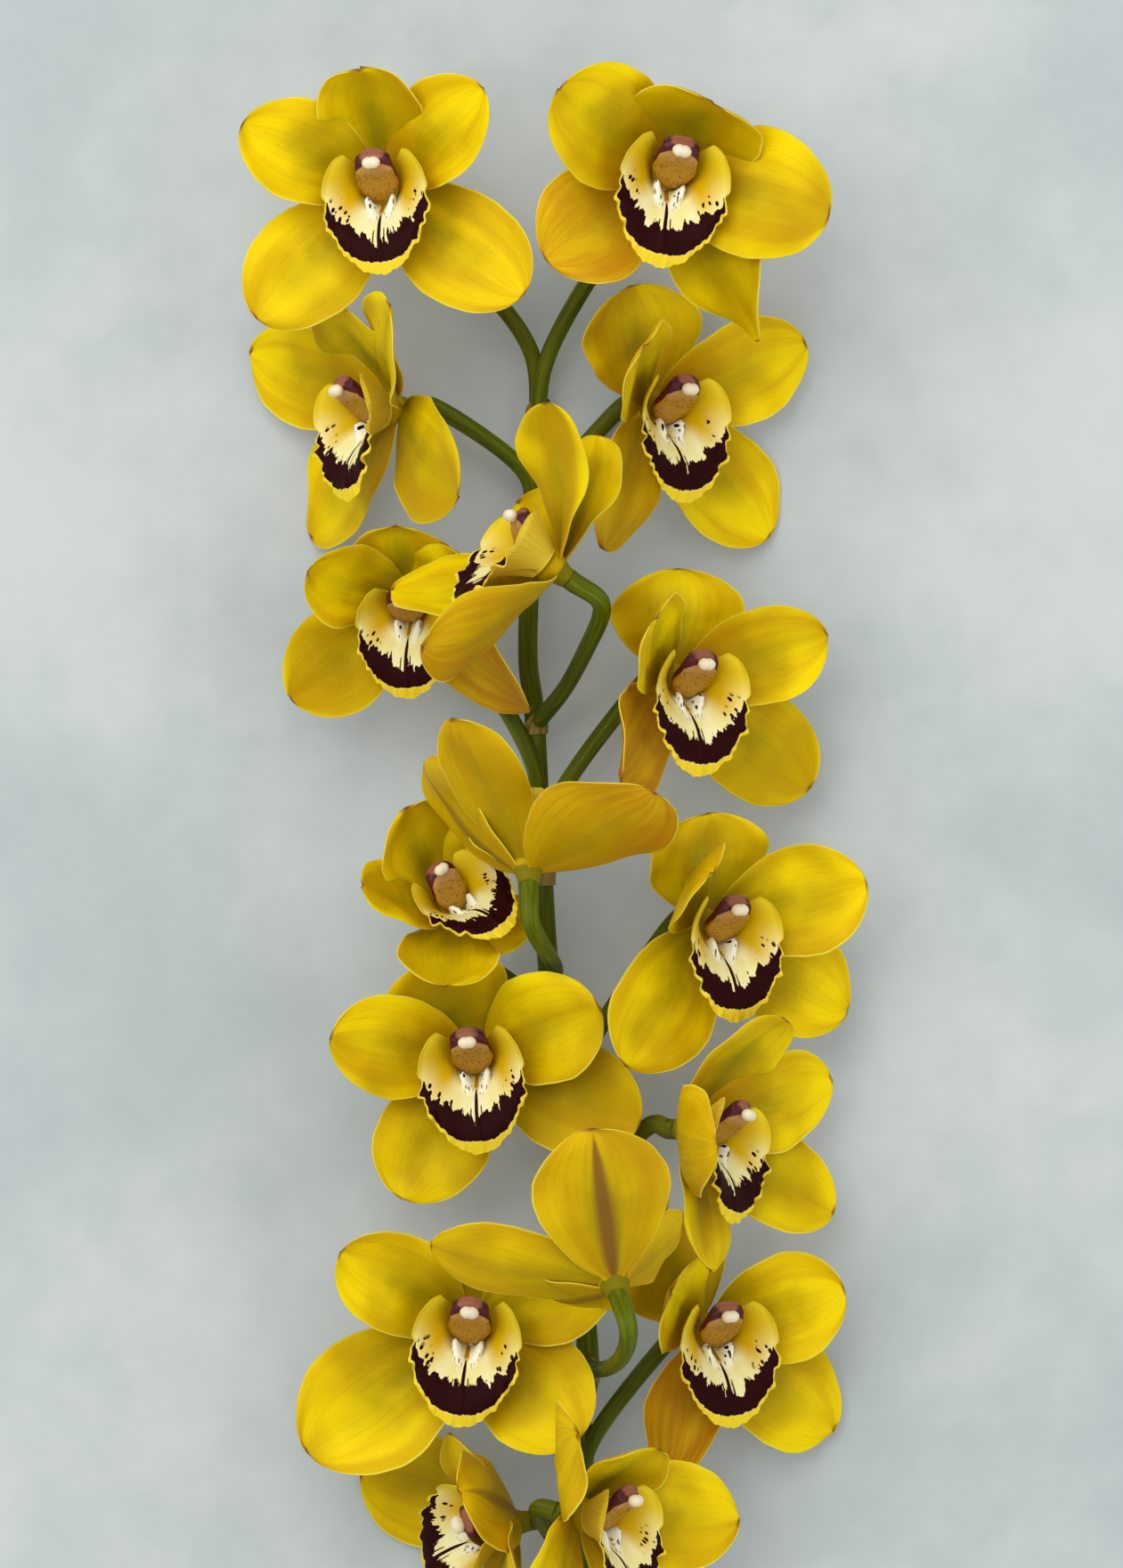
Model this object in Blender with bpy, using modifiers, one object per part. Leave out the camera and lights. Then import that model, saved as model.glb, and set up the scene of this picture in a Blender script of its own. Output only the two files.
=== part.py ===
"""A cut cymbidium orchid stem, laid on its back on a flat surface.

Metres, +Z up. The stem lies along Y with its cut end at -Y, and its flowers look up (+Z).
Each flower is built in its own frame, +Z the way it faces and +Y towards its dorsal sepal,
and is then turned and placed. Lengths are given in millimetres and angles in degrees.
"""

import math
import random
from types import SimpleNamespace

import bmesh
import bpy
from mathutils import Matrix, Vector

MM = 0.001
GAP = 0.3

# The flower's base, which carries its tepals, lip and column
BOSS_RADIUS = 6.5
BOSS_FRONT = 2.6
BOSS_BACK = -3.4
NECK_RADIUS = 3.9
NECK_BACK = -7.0

# Tepals, the petals and sepals
TEPAL_THICKNESS = 1.0
TEPAL_ROOT = 3.0
PETAL_SINK = -1.3
SEPAL_SINK = -2.6
TEPAL_CELLS = (5, 3)
TEPAL_WAVE = 0.6
WIDEST_AT = 1.27
ROUNDNESS = 0.5
TIP_WIDTH = 0.14
TIP_CROWDING = 1.35
FLOOR_SOFTNESS = 1.6

# Lip: its edge runs from the middle of its bottom to the top of a side lobe
LIP_THICKNESS = 1.0
LIP_CELLS = (8, 3)
LIP_EDGE = (
    (0, -33, 19),
    (9.5, -31, 19),
    (16, -24, 20),
    (18.3, -13, 20),
    (18, 0, 20),
    (12.5, 12, 21),
)
LIP_SWEEP = 140
THROAT = Vector((5.8, 6.2, 0))
THROAT_MIDDLE = Vector((0, -0.6, 3.4))
LIP_FOLD_AT = 0.52
LIP_FOLD_RISE = 3
LIP_FOLD_BULGE = 9
LIP_FOLD_SIDE = 1.06
LIP_FOLD_PINCH = 0.22
MIDDLE_LOBE = 0.75

# Column, which bows from its foot to its hooded end
COLUMN_FOOT = BOSS_FRONT + GAP
COLUMN_BACK = -2.0
COLUMN_LENGTH = 24
COLUMN_HALF_WIDTH = (4.2, 2.4)
COLUMN_HALF_DEPTH = (3.0, 1.3)
COLUMN_FLAT_FACE = 0.55
COLUMN_BOW = (14, 34)
COLUMN_REACH = (0.62, 1.02)
CAP_RADIUS = 3.1
CAP_PLACE = Vector((0, 5.4, 21.4))

# Green parts
STEM_RADIUS = 3.8
STEM_FOOT = 1.12
STEM_TAPER = 0.3
STEM_STEPS = 26
STEM_SIDES = 8
PEDICEL_RADIUS = 2.7
OVARY_RADIUS = 3.5
PEDICEL_STEPS = 6
PEDICEL_SIDES = 6
PEDICEL_FINENESS = 8

# Where the object's bounding box has its middle, before it is moved to the origin
MIDDLE_X = -2.380
MIDDLE_Y = -149.191

STEM_ROUTE = (
    (-4, -540, 4.26),
    (-5, -470, 5),
    (-1, -400, 9),
    (4, -330, 13),
    (6, -264, 16),
    (7, -231, 16),
    (6.5, -217, 16),
    (9, -195, 16),
    (3, -135, 15),
    (-4, -67, 14),
    (-6, -39, 14),
    (-9, 21, 14),
    (-11.5, 45, 14),
    (-10, 85, 11),
    (-8, 122, 8),
    (-7, 132, 7),
)


def tepal(angle, length, width, lift, tip_lift, cup, sink=SEPAL_SINK):
    """One petal or sepal: where it points, its size, its slope at root and tip, and its curl across."""
    return SimpleNamespace(
        angle=angle, length=length, width=width, lift=lift, tip_lift=tip_lift,
        cup=cup, sink=sink, twist=0.0,
    )


# A well opened flower, before each one's own small differences
TEPALS = {
    "dorsal": tepal(90, 50, 38, 32, 64, 0.25),
    "right_petal": tepal(29, 54, 35, 40, 18, 0.35, PETAL_SINK),
    "left_petal": tepal(151, 54, 35, 40, 18, 0.35, PETAL_SINK),
    "right_sepal": tepal(-40, 58, 40, 18, 0, 0.22),
    "left_sepal": tepal(220, 58, 40, 18, 0, 0.22),
}


def bloom(x, y, z, turn, tilt, roll, size, root, closing=0, via=(), **changes):
    """One flower: its base, the way it faces, and the height on the stem where its pedicel leaves.

    closing lifts all its tepals, via is where a pedicel bends, and changes are to single tepals.
    """
    return SimpleNamespace(
        place=Vector((x, y, z)), turn=turn, tilt=tilt, roll=roll, size=size, root=root,
        closing=closing, via=[Vector(point) for point in via], changes=changes,
    )


UPRIGHT = {"lift": 41, "tip_lift": 60}
LOW_HOOD = {"length": 38, "lift": 26, "tip_lift": 40}
BROAD_BACK = {"angle": 96, "length": 36, "width": 50, "lift": 8, "tip_lift": 16}

BLOOMS = (
    bloom(
        36.2, 207.2, 46, 8, 0, -12, 1.05, 118,
        dorsal={"angle": 78, "length": 43, "width": 46, "lift": 40, "tip_lift": 84},
        left_petal={"angle": 160, "length": 52, "width": 41}, right_petal={"angle": -6, "length": 55, "width": 45},
        right_sepal={"angle": -50, "twist": 88, "lift": 24, "width": 36}, left_sepal={"angle": 227, "length": 47},
    ),
    bloom(
        31.1, 128.5, 20, 35, 0, -2, 1.02, 78, left_petal=UPRIGHT,
        dorsal={"angle": 107, "length": 39, "width": 50, "lift": 4, "tip_lift": 8},
        left_sepal={"angle": 246, "length": 50, "width": 34, "lift": 12, "twist": -38},
    ),
    bloom(-60, 202, 42, -10, 5, 6, 1.0, 126),
    bloom(-58, 128, 30, -58, 0, 8, 1.0, 92, dorsal={"length": 42}),
    bloom(
        -3.5, 73, 80, -70, 35, 0, 1.0, 20, via=((1, 32, 34), (9, 47, 58)),
        right_petal={"angle": 60, "length": 58, "lift": 35, "tip_lift": 52, "twist": 60},
        dorsal={"length": 45, "lift": 12, "tip_lift": 22, "width": 34, "twist": 40},
        right_sepal={"angle": -70, "length": 61, "width": 42, "lift": 10, "tip_lift": 48, "twist": 45},
        left_sepal={"angle": 225, "length": 56, "width": 36, "lift": 30, "tip_lift": 46},
        left_petal={"length": 36, "lift": 30},
    ),
    bloom(
        -50.8, 61.7, 32, -10, -15, 0, 0.9, -16, closing=6, dorsal=LOW_HOOD,
        left_petal={"length": 46}, right_petal={"length": 36, "lift": 30},
        right_sepal={"twist": 60},
    ),
    bloom(
        38.7, 35, 38, 28, 0, -3, 1.0, -30, left_petal=UPRIGHT, dorsal=BROAD_BACK,
        right_petal={"angle": 21}, right_sepal={"angle": -33},
        left_sepal={"angle": 232, "lift": 12, "tip_lift": 32, "twist": -45, "length": 46},
    ),
    bloom(
        -11.3, -27, 76, 6, 114, 90, 1.0, -68, closing=6, via=((-2, -63, 30), (-5, -57, 54)),
        left_sepal={"angle": 224, "lift": 8, "tip_lift": 14, "width": 58, "length": 54},
        right_sepal={"angle": -66, "lift": 34, "tip_lift": 24, "length": 62},
        right_petal={"lift": 46, "tip_lift": 60, "length": 34},
        left_petal={"width": 28, "length": 60},
    ),
    bloom(
        -37.4, -42.5, 36, 0, 35, 42, 0.88, -96, closing=12, right_petal={"length": 40},
        right_sepal={"angle": -68, "length": 34, "width": 30, "lift": 12},
        left_sepal={"angle": 226, "length": 46}, left_petal={"length": 44},
    ),
    bloom(
        49.5, -47.9, 36, 30, 0, -1, 1.0, -122, dorsal=BROAD_BACK,
        left_petal={"angle": 143, "length": 54, "lift": 30, "tip_lift": 86},
        right_petal={"angle": 18, "width": 39}, right_sepal={"angle": -31}, left_sepal={"angle": 234},
    ),
    bloom(
        -29, -92.6, 34, -6, 0, 7, 1.0, -140,
        dorsal={"angle": 109, "length": 39, "width": 46, "lift": 26, "tip_lift": 36},
        left_petal={"angle": 164, "length": 52}, right_petal={"angle": 15, "length": 50, "width": 40},
        right_sepal={"angle": -29}, left_sepal={"angle": 236, "length": 52},
    ),
    bloom(
        45, -117, 44, 57, 0, -12, 0.98, -160,
        left_petal={"angle": 198, "length": 48, "width": 40, "lift": 10, "tip_lift": 80},
        right_sepal={"angle": -22, "lift": 37, "tip_lift": 26, "width": 38},
        left_sepal={"angle": 266, "lift": 26, "tip_lift": 14, "width": 30, "length": 50},
    ),
    bloom(
        17.3, -164.9, 96, 17, 136, 20, 1.0, -200, via=((15, -198, 46), (20, -192, 82)),
        left_sepal={"angle": 234, "width": 46, "length": 58, "lift": 16, "tip_lift": 20},
        right_sepal={"lift": 32, "tip_lift": 50, "length": 34, "width": 24},
        left_petal={"length": 60, "lift": 16, "tip_lift": 30},
        dorsal={"length": 40, "angle": 100, "lift": 20, "tip_lift": 60},
        right_petal={"length": 36, "lift": 46, "tip_lift": 66},
    ),
    bloom(
        -30.5, -183.8, 36, -3, 0, -6, 1.03, -232, dorsal=LOW_HOOD,
        left_sepal={"length": 66, "width": 46}, right_sepal={"lift": 26, "tip_lift": 16, "length": 52},
        right_petal={"lift": 30, "tip_lift": 8},
    ),
    bloom(
        49.4, -185.9, 23, 22, 0, 2, 1.0, -246,
        dorsal={"angle": 120, "length": 42, "width": 42, "lift": 12, "tip_lift": 20},
        left_petal={"lift": 41, "tip_lift": 60, "length": 46},
        right_petal={"angle": 16, "length": 47, "width": 39},
        left_sepal={"angle": 252, "lift": 10, "tip_lift": 2, "width": 28, "length": 50, "twist": 66},
        right_sepal={"tip_lift": -14},
    ),
    bloom(
        -18.2, -251.9, 28, -62, -5, -60, 1.0, -275, left_petal={"length": 36},
        left_sepal={"lift": 24, "tip_lift": 50, "width": 42},
    ),
    bloom(
        7.4, -245.9, 60, 55, 0, 0, 1.0, -286,
        dorsal={"angle": 76, "length": 36, "lift": 48, "tip_lift": 60},
        left_petal={"angle": 143, "lift": 2, "tip_lift": 56, "width": 38, "twist": 50},
        right_petal={"angle": -4, "length": 56, "width": 38, "lift": 36, "tip_lift": 30},
    ),
)


# Small tools

def material(name, colour, roughness):
    made = bpy.data.materials.new(name)
    made.use_nodes = True
    shader = made.node_tree.nodes["Principled BSDF"]
    shader.inputs["Base Color"].default_value = (*colour, 1)
    shader.inputs["Roughness"].default_value = roughness
    shader.inputs["Metallic"].default_value = 0
    return made


def collection(name):
    made = bpy.data.collections.new(name)
    bpy.context.scene.collection.children.link(made)
    return made


def object_from(mesh, name, home):
    made = bpy.data.objects.new(name, mesh)
    home.objects.link(made)
    return made


def baked(source, name, home):
    """The object as its modifiers leave it, as a plain mesh; the source is removed."""
    bpy.context.view_layer.update()
    evaluated = source.evaluated_get(bpy.context.evaluated_depsgraph_get())
    mesh = bpy.data.meshes.new_from_object(evaluated)
    mesh.transform(source.matrix_world)
    bpy.data.objects.remove(source)
    work = bmesh.new()
    work.from_mesh(mesh)
    bmesh.ops.remove_doubles(work, verts=work.verts, dist=0.001 * MM)
    work.to_mesh(mesh)
    work.free()
    return object_from(mesh, name, home)


def join(base, pieces, name, home):
    """One Boolean union of the base and a collection of pieces."""
    group = collection("pieces")
    for piece in pieces:
        for owner in piece.users_collection:
            owner.objects.unlink(piece)
        group.objects.link(piece)
    union = base.modifiers.new("join", "BOOLEAN")
    union.operation = "UNION"
    union.operand_type = "COLLECTION"
    union.collection = group
    union.solver = "EXACT"
    whole = baked(base, name, home)
    for piece in list(group.objects):
        bpy.data.objects.remove(piece)
    bpy.data.collections.remove(group)
    return whole


def between(four, t):
    """The Catmull-Rom point from the second of four points, at t = 0, to the third, at t = 1."""
    a, b, c, d = four
    return 0.5 * (
        2 * b + (c - a) * t + (2 * a - 5 * b + 4 * c - d) * t * t
        + (3 * b - a - 3 * c + d) * t ** 3
    )


def smooth_path(points, count):
    """Points along a Catmull-Rom curve through the given ones."""
    ends = [2 * points[0] - points[1], *points, 2 * points[-1] - points[-2]]
    spans = len(points) - 1
    found = []
    for i in range(count + 1):
        along = min(i * spans / count, spans - 1e-9)
        k = int(along)
        t = along - k
        found.append(between(ends[k:k + 4], t))
    return found


# The flower's parts, in its own frame and in millimetres

def tepal_point(form, u, v):
    """A point of the tepal's middle surface: u runs from root to tip, v from edge to edge."""
    lift = math.radians(form.lift)
    turn = math.radians(form.tip_lift - form.lift) or 1e-6
    slope = lift + turn * u
    out = form.length * (math.sin(slope) - math.sin(lift)) / turn
    rise = form.length * (math.cos(lift) - math.cos(slope)) / turn
    widest = form.width / 2
    half = widest * max(math.sin(math.pi * min(u, 1.0) ** WIDEST_AT), 0) ** ROUNDNESS
    half = max(half, widest * TIP_WIDTH)
    arc = form.cup * half / widest * v
    across = half * v * (math.sin(arc) / arc if arc else 1)
    raised = half * abs(v) * (1 - math.cos(arc)) / abs(arc) if arc else 0.0
    raised += TEPAL_WAVE * v * v * math.sin(7 * u + 2.2 * v + form.angle) * half / widest
    swing = math.radians(form.twist) * u
    across, raised = (
        across * math.cos(swing) - raised * math.sin(swing),
        across * math.sin(swing) + raised * math.cos(swing),
    )
    out -= raised * math.sin(slope)
    rise += raised * math.cos(slope)
    heading = math.radians(form.angle)
    radial = Vector((math.cos(heading), math.sin(heading), 0))
    sideways = Vector((-math.sin(heading), math.cos(heading), 0))
    return radial * (TEPAL_ROOT + out) + sideways * across + Vector((0, 0, form.sink + rise))


def rim_point(s):
    """The lip's edge: s runs from the left side lobe's top, -1, by the middle, 0, to the right, 1."""
    path = [Vector(knot) for knot in LIP_EDGE]
    path = [Vector((-path[1].x, path[1].y, path[1].z)), *path, 2 * path[-1] - path[-2]]
    spans = len(LIP_EDGE) - 1
    along = min(abs(s) * spans, spans - 1e-9)
    k = int(along)
    point = between(path[k:k + 4], along - k)
    point.x *= math.copysign(1, s)
    return point


def lip_point(s, t):
    """A point of the lip: t runs from the throat, over the fold, to the edge."""
    turn = math.radians(LIP_SWEEP * s - 90)
    throat = THROAT_MIDDLE + Vector((THROAT.x * math.cos(turn), THROAT.y * math.sin(turn), 0))
    edge = rim_point(s)
    middle = 1 - min(abs(s) / MIDDLE_LOBE, 1) ** 2
    fold = throat.lerp(edge, LIP_FOLD_AT)
    fold.z += LIP_FOLD_RISE + LIP_FOLD_BULGE * middle
    fold.xy = fold.xy * (LIP_FOLD_SIDE - LIP_FOLD_PINCH * middle)
    return (1 - t) ** 2 * throat + 2 * t * (1 - t) * fold + t * t * edge


def column_point(x, y, z):
    """Maps a unit ball to the column: its bottom is the foot and its top the hooded end."""
    along = math.acos(max(-1, min(1, -z))) / math.pi
    ring = math.sqrt(max(1 - z * z, 0))
    around = Vector((x, y)) / ring if ring > 1e-6 else Vector((0, 0))
    body = min(ring * 2, 1) ** 0.5
    half = body * (COLUMN_HALF_WIDTH[0] + COLUMN_HALF_WIDTH[1] * along ** 1.5)
    deep = body * (COLUMN_HALF_DEPTH[0] + COLUMN_HALF_DEPTH[1] * along)
    flat = COLUMN_FLAT_FACE if around.y < 0 else 1.0
    bow = math.radians(COLUMN_BOW[0] + COLUMN_BOW[1] * along)
    reach = COLUMN_LENGTH * along
    spine_y = COLUMN_BACK + reach * math.sin(bow) * COLUMN_REACH[0]
    spine_z = COLUMN_FOOT + reach * math.cos(bow) * COLUMN_REACH[1]
    up = Vector((0, math.cos(bow), -math.sin(bow)))
    spot = Vector((around.x * half, spine_y, spine_z)) + up * (around.y * deep * flat)
    spot.z = max(spot.z, COLUMN_FOOT)
    return spot


def floor_clamp(point):
    """Bends what would sink below the surface flat along it."""
    rest = TEPAL_THICKNESS / 2 + 0.05
    over = (point.z - rest) / FLOOR_SOFTNESS
    if over < 20:
        point.z = rest + FLOOR_SOFTNESS * math.log1p(math.exp(over))
    return point


def sheet(name, cells, place, thickness, home):
    """A grid mapped by place(u, v), cut into triangles and thickened evenly to both sides."""
    work = bmesh.new()
    bmesh.ops.create_grid(work, x_segments=cells[0], y_segments=cells[1], size=0.5)
    for vert in work.verts:
        vert.co = place(vert.co.x + 0.5, vert.co.y * 2) * MM
    bmesh.ops.triangulate(work, faces=work.faces)
    bmesh.ops.recalc_face_normals(work, faces=work.faces)
    mesh = bpy.data.meshes.new(name)
    work.to_mesh(mesh)
    work.free()
    made = object_from(mesh, name, home)
    solid = made.modifiers.new("thickness", "SOLIDIFY")
    solid.thickness = thickness * MM
    solid.offset = 0
    return baked(made, name, home)


def frame_of(flower):
    """Turns and places a flower, in millimetres."""
    turned = (
        Matrix.Rotation(math.radians(flower.turn), 4, "Y")
        @ Matrix.Rotation(math.radians(-flower.tilt), 4, "X")
        @ Matrix.Rotation(math.radians(flower.roll), 4, "Z")
    )
    return Matrix.Translation(flower.place) @ turned @ Matrix.Scale(flower.size, 4)


def forms_of(flower, seed):
    """The flower's five tepals, each a little different from the next flower's."""
    draw = random.Random(seed)
    forms = {}
    for name, base in TEPALS.items():
        form = SimpleNamespace(**vars(base))
        form.angle += draw.uniform(-4, 4)
        form.length *= draw.uniform(0.96, 1.04)
        form.width *= draw.uniform(0.96, 1.04)
        form.lift += draw.uniform(-3, 3)
        form.tip_lift += draw.uniform(-8, 6)
        form.cup += draw.uniform(-0.08, 0.08)
        form.lift += flower.closing * 0.5
        form.tip_lift += flower.closing * 2
        form.twist += draw.uniform(-6, 6)
        for key, value in flower.changes.get(name, {}).items():
            setattr(form, key, value)
        forms[name] = form
    return forms


def make_tepals(name, flower, seed, home):
    frame = frame_of(flower)
    blades = []
    for part, form in forms_of(flower, seed).items():
        def place(u, v, form=form):
            return floor_clamp(frame @ tepal_point(form, 1 - (1 - u) ** TIP_CROWDING, v))
        blades.append(sheet(part, TEPAL_CELLS, place, TEPAL_THICKNESS, home))
    work = bmesh.new()
    for low, high, wide, narrow in (
        (BOSS_BACK, BOSS_FRONT, BOSS_RADIUS, BOSS_RADIUS),
        (NECK_BACK, BOSS_BACK + 0.6, NECK_RADIUS, NECK_RADIUS + 1.2),
    ):
        bmesh.ops.create_cone(
            work, cap_ends=True, segments=6, depth=(high - low) * MM,
            radius1=wide * MM, radius2=narrow * MM,
            matrix=Matrix.Translation((0, 0, (low + high) / 2 * MM)),
        )
    mesh = bpy.data.meshes.new(name)
    work.to_mesh(mesh)
    work.free()
    base = object_from(mesh, name, home)
    mesh.transform(scaled_to_metres(frame))
    return join(base, blades, name, home)


def scaled_to_metres(frame):
    """The flower's frame for a mesh that is already in metres."""
    moved = frame.copy()
    moved.translation = frame.translation * MM
    return moved


def make_lip(name, flower, home):
    frame = frame_of(flower)
    return sheet(
        name, LIP_CELLS, lambda u, v: frame @ lip_point(2 * u - 1, (v + 1) / 2), LIP_THICKNESS, home
    )


def make_column(name, flower, home):
    frame = frame_of(flower)
    work = bmesh.new()
    bmesh.ops.create_uvsphere(work, u_segments=7, v_segments=5, radius=1)
    for vert in work.verts:
        vert.co = frame @ column_point(*vert.co) * MM
    mesh = bpy.data.meshes.new(name)
    work.to_mesh(mesh)
    work.free()
    body = object_from(mesh, name, home)
    work = bmesh.new()
    bmesh.ops.create_uvsphere(work, u_segments=6, v_segments=3, radius=CAP_RADIUS * MM)
    mesh = bpy.data.meshes.new("cap")
    work.to_mesh(mesh)
    work.free()
    mesh.transform(scaled_to_metres(frame) @ Matrix.Translation(CAP_PLACE * MM))
    cap = object_from(mesh, "cap", home)
    return join(body, [cap], name, home)


# The green parts

def tube(name, points, radii, sides, home):
    curve = bpy.data.curves.new(name, "CURVE")
    curve.dimensions = "3D"
    curve.bevel_depth = MM
    curve.bevel_resolution = sides // 2 - 2
    curve.use_fill_caps = True
    line = curve.splines.new("POLY")
    line.points.add(len(points) - 1)
    for spot, point, radius in zip(line.points, points, radii):
        spot.co = (*(point * MM), 1)
        spot.radius = radius
    return baked(object_from(curve, name, home), name, home)


def stem_at(height):
    """The main stem's middle at that distance along Y."""
    route = smooth_path([Vector(point) for point in STEM_ROUTE], 400)
    return min(route, key=lambda point: abs(point.y - height))


def pedicel_route(flower):
    """From the main stem to the back of the flower's base, square to it at the end."""
    frame = frame_of(flower)
    facing = (frame.to_3x3() @ Vector((0, 0, 1))).normalized()
    back = frame @ Vector((0, 0, NECK_BACK)) - facing * GAP
    start = stem_at(flower.root)
    reach = (back - start).length
    lead = back - facing * (4 + 0.14 * reach)
    bends = flower.via
    if not bends:
        rise = Vector((0, 1, 0.25)).normalized()
        bends = [start + rise * reach * 0.22 + (lead - start) * 0.12]
    whole = smooth_path([start, *bends, lead, back - facing * 3], PEDICEL_STEPS * PEDICEL_FINENESS)
    return [*whole[::PEDICEL_FINENESS], back]


def make_stem(name, home):
    route = smooth_path([Vector(point) for point in STEM_ROUTE], STEM_STEPS)
    radii = [STEM_RADIUS * (STEM_FOOT - STEM_TAPER * i / STEM_STEPS) for i in range(len(route))]
    stem = tube(name, route, radii, STEM_SIDES, home)
    stalks = []
    for flower in BLOOMS:
        points = pedicel_route(flower)
        count = len(points) - 1
        widths = []
        for i in range(count + 1):
            widths.append(PEDICEL_RADIUS + (OVARY_RADIUS - PEDICEL_RADIUS) * (i / count) ** 2)
        stalks.append(tube("pedicel", points, widths, PEDICEL_SIDES, home))
    return join(stem, stalks, name, home)


def main():
    for old in list(bpy.data.objects):
        bpy.data.objects.remove(old)
    home = collection("cymbidium_stem")
    yellow = material("tepals", (0.80, 0.60, 0.02), 0.5)
    cream = material("lip", (0.86, 0.78, 0.42), 0.45)
    tan = material("column", (0.56, 0.34, 0.10), 0.4)
    green = material("stem", (0.13, 0.16, 0.02), 0.5)
    made = [(make_stem("stem", home), green)]
    for number, flower in enumerate(BLOOMS, 1):
        name = f"bloom_{number:02d}"
        made.append((make_tepals(f"{name}_tepals", flower, number, home), yellow))
        made.append((make_lip(f"{name}_lip", flower, home), cream))
        made.append((make_column(f"{name}_column", flower, home), tan))
    for piece, colour in made:
        piece.data.materials.clear()
        piece.data.materials.append(colour)
        piece.location = (-MIDDLE_X * MM, -MIDDLE_Y * MM, 0)


main()
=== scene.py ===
"""Dresses a cut cymbidium orchid stem: petals and sepals, lips, columns, the green spike and the studio.

Lengths in the flower functions are in millimetres and angles in degrees. Each flower is made in its
own frame, +Z the way it faces and +Y towards its dorsal sepal, and is then turned and placed.
"""

import math
import random
from types import SimpleNamespace

import bpy
import numpy as np
from mathutils import Matrix, Vector


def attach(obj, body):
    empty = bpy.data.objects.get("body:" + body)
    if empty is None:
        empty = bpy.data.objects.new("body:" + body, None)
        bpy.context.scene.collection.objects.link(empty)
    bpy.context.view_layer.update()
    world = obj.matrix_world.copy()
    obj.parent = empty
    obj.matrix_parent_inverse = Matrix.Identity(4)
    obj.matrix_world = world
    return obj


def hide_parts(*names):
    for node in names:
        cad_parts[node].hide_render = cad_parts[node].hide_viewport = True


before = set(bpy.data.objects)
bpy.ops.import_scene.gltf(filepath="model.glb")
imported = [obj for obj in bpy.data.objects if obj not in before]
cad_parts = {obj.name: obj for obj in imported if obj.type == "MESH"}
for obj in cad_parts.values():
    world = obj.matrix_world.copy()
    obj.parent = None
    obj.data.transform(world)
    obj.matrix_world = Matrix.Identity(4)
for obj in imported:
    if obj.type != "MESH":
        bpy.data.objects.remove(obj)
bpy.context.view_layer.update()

bl_info = {
    "name": "Cymbidium stem",
    "version": (1, 0, 0),
    "blender": (4, 5, 0),
    "location": "View3D > Sidebar > Orchid",
    "description": "Dresses a cut cymbidium stem and lights it for a still",
    "category": "Object",
}

MM = 0.001

# The flower's base
BASE_PROFILE = (
    (0.01, 2.6), (3.6, 2.5), (5.2, 1.8), (5.8, 0.2), (5.5, -1.4),
    (4.8, -2.8), (4.2, -4.2), (3.8, -5.6), (3.6, -7.0), (0.01, -7.0),
)
BASE_SIDES = 24
BASE_RIPPLE = 0.05
BASE_GREEN_BELOW = -2.5
NECK_BACK = -7.0
GAP = 0.3

# Tepals, the petals and sepals
TEPAL_GRID = (40, 23)
TEPAL_HALF_THICKNESS = 0.5
TEPAL_ROOT = 3.0
PETAL_SINK = -1.3
SEPAL_SINK = -2.6
WIDEST_AT = 1.27
ROUNDNESS = 0.5
ROOT_WIDTH = 0.14
TIP_HALF_WIDTH = 0.25
TIP_CROWDING = 1.35
TIP_RISE = 0.9
TEPAL_WAVE = 0.6
TEPAL_RIPPLE = 0.5
EDGE_WAVE = 0.9
RIB_GROOVE = 0.55
RIB_HALF_WIDTH = 1.5
RIM_THICKNESS = 0.35
RIM_REACH = 0.14
FLOOR_SOFTNESS = 1.6
FLOOR_GAP = 0.05

# A tepal's outline swells in waves: how fast each runs, how its two sides differ, and its share
OUTLINE_WAVES = ((7, 2, 0.03), (21, 1, 0.006), (43, -1, 0.004))

# Lip: its edge runs from the middle of its bottom to the top of a side lobe
LIP_EDGE = (
    (0, -32.5, 19), (6.8, -30, 19), (13, -23, 20), (17.6, -13, 20), (18, 0, 20), (12.5, 12, 21),
)
LIP_SWEEP = 140
LIP_GRID = (141, 30)
LIP_CROWDING = 1.3
LIP_THICKNESS = 0.85
LIP_RIM_THICKNESS = 0.3
THROAT = (5.8, 6.2)
THROAT_SHIFT = -0.6
THROAT_HEIGHT = 3.4
LIP_FOLD_AT = 0.52
LIP_FOLD_RISE = 3
LIP_FOLD_BULGE = 9
LIP_FOLD_SIDE = 1.06
LIP_FOLD_PINCH = 0.22
MIDDLE_LOBE = 0.75
NOTCH = 0.70
NOTCH_WIDTH = 0.025
NOTCH_DEPTH = 0.11
SCALLOP = 0.016
LIP_GROOVE = 0.5
LOBE_CURL = 0.8
LOBE_TAPER = 0.3
KEEL_AT = 0.085
KEEL_SPLAY = 0.14
KEEL_PARTING = (0.05, 0.42)
KEEL_WIDTH = 0.085
KEEL_RISE = 5.4
KEEL_LEAN = (0.22, 0.62, 0.75)

# The lip's dark band: the way from throat to edge where it starts and ends, and how far it spreads
BAND_START = 0.57
BAND_BEND = 0.32
BAND_END = 0.86
BAND_SPREAD = 0.69
TEETH = 0.66

# Its stripes: how far aside, half their sharp and their soft width, where they start, are full and end
STRIPES = (
    (0.0, 0.016, 0.023, 0.2, 0.22, 0.8),
    (-0.085, 0.007, 0.013, 0.45, 0.49, 0.75),
    (0.075, 0.007, 0.013, 0.42, 0.46, 0.75),
)

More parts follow.
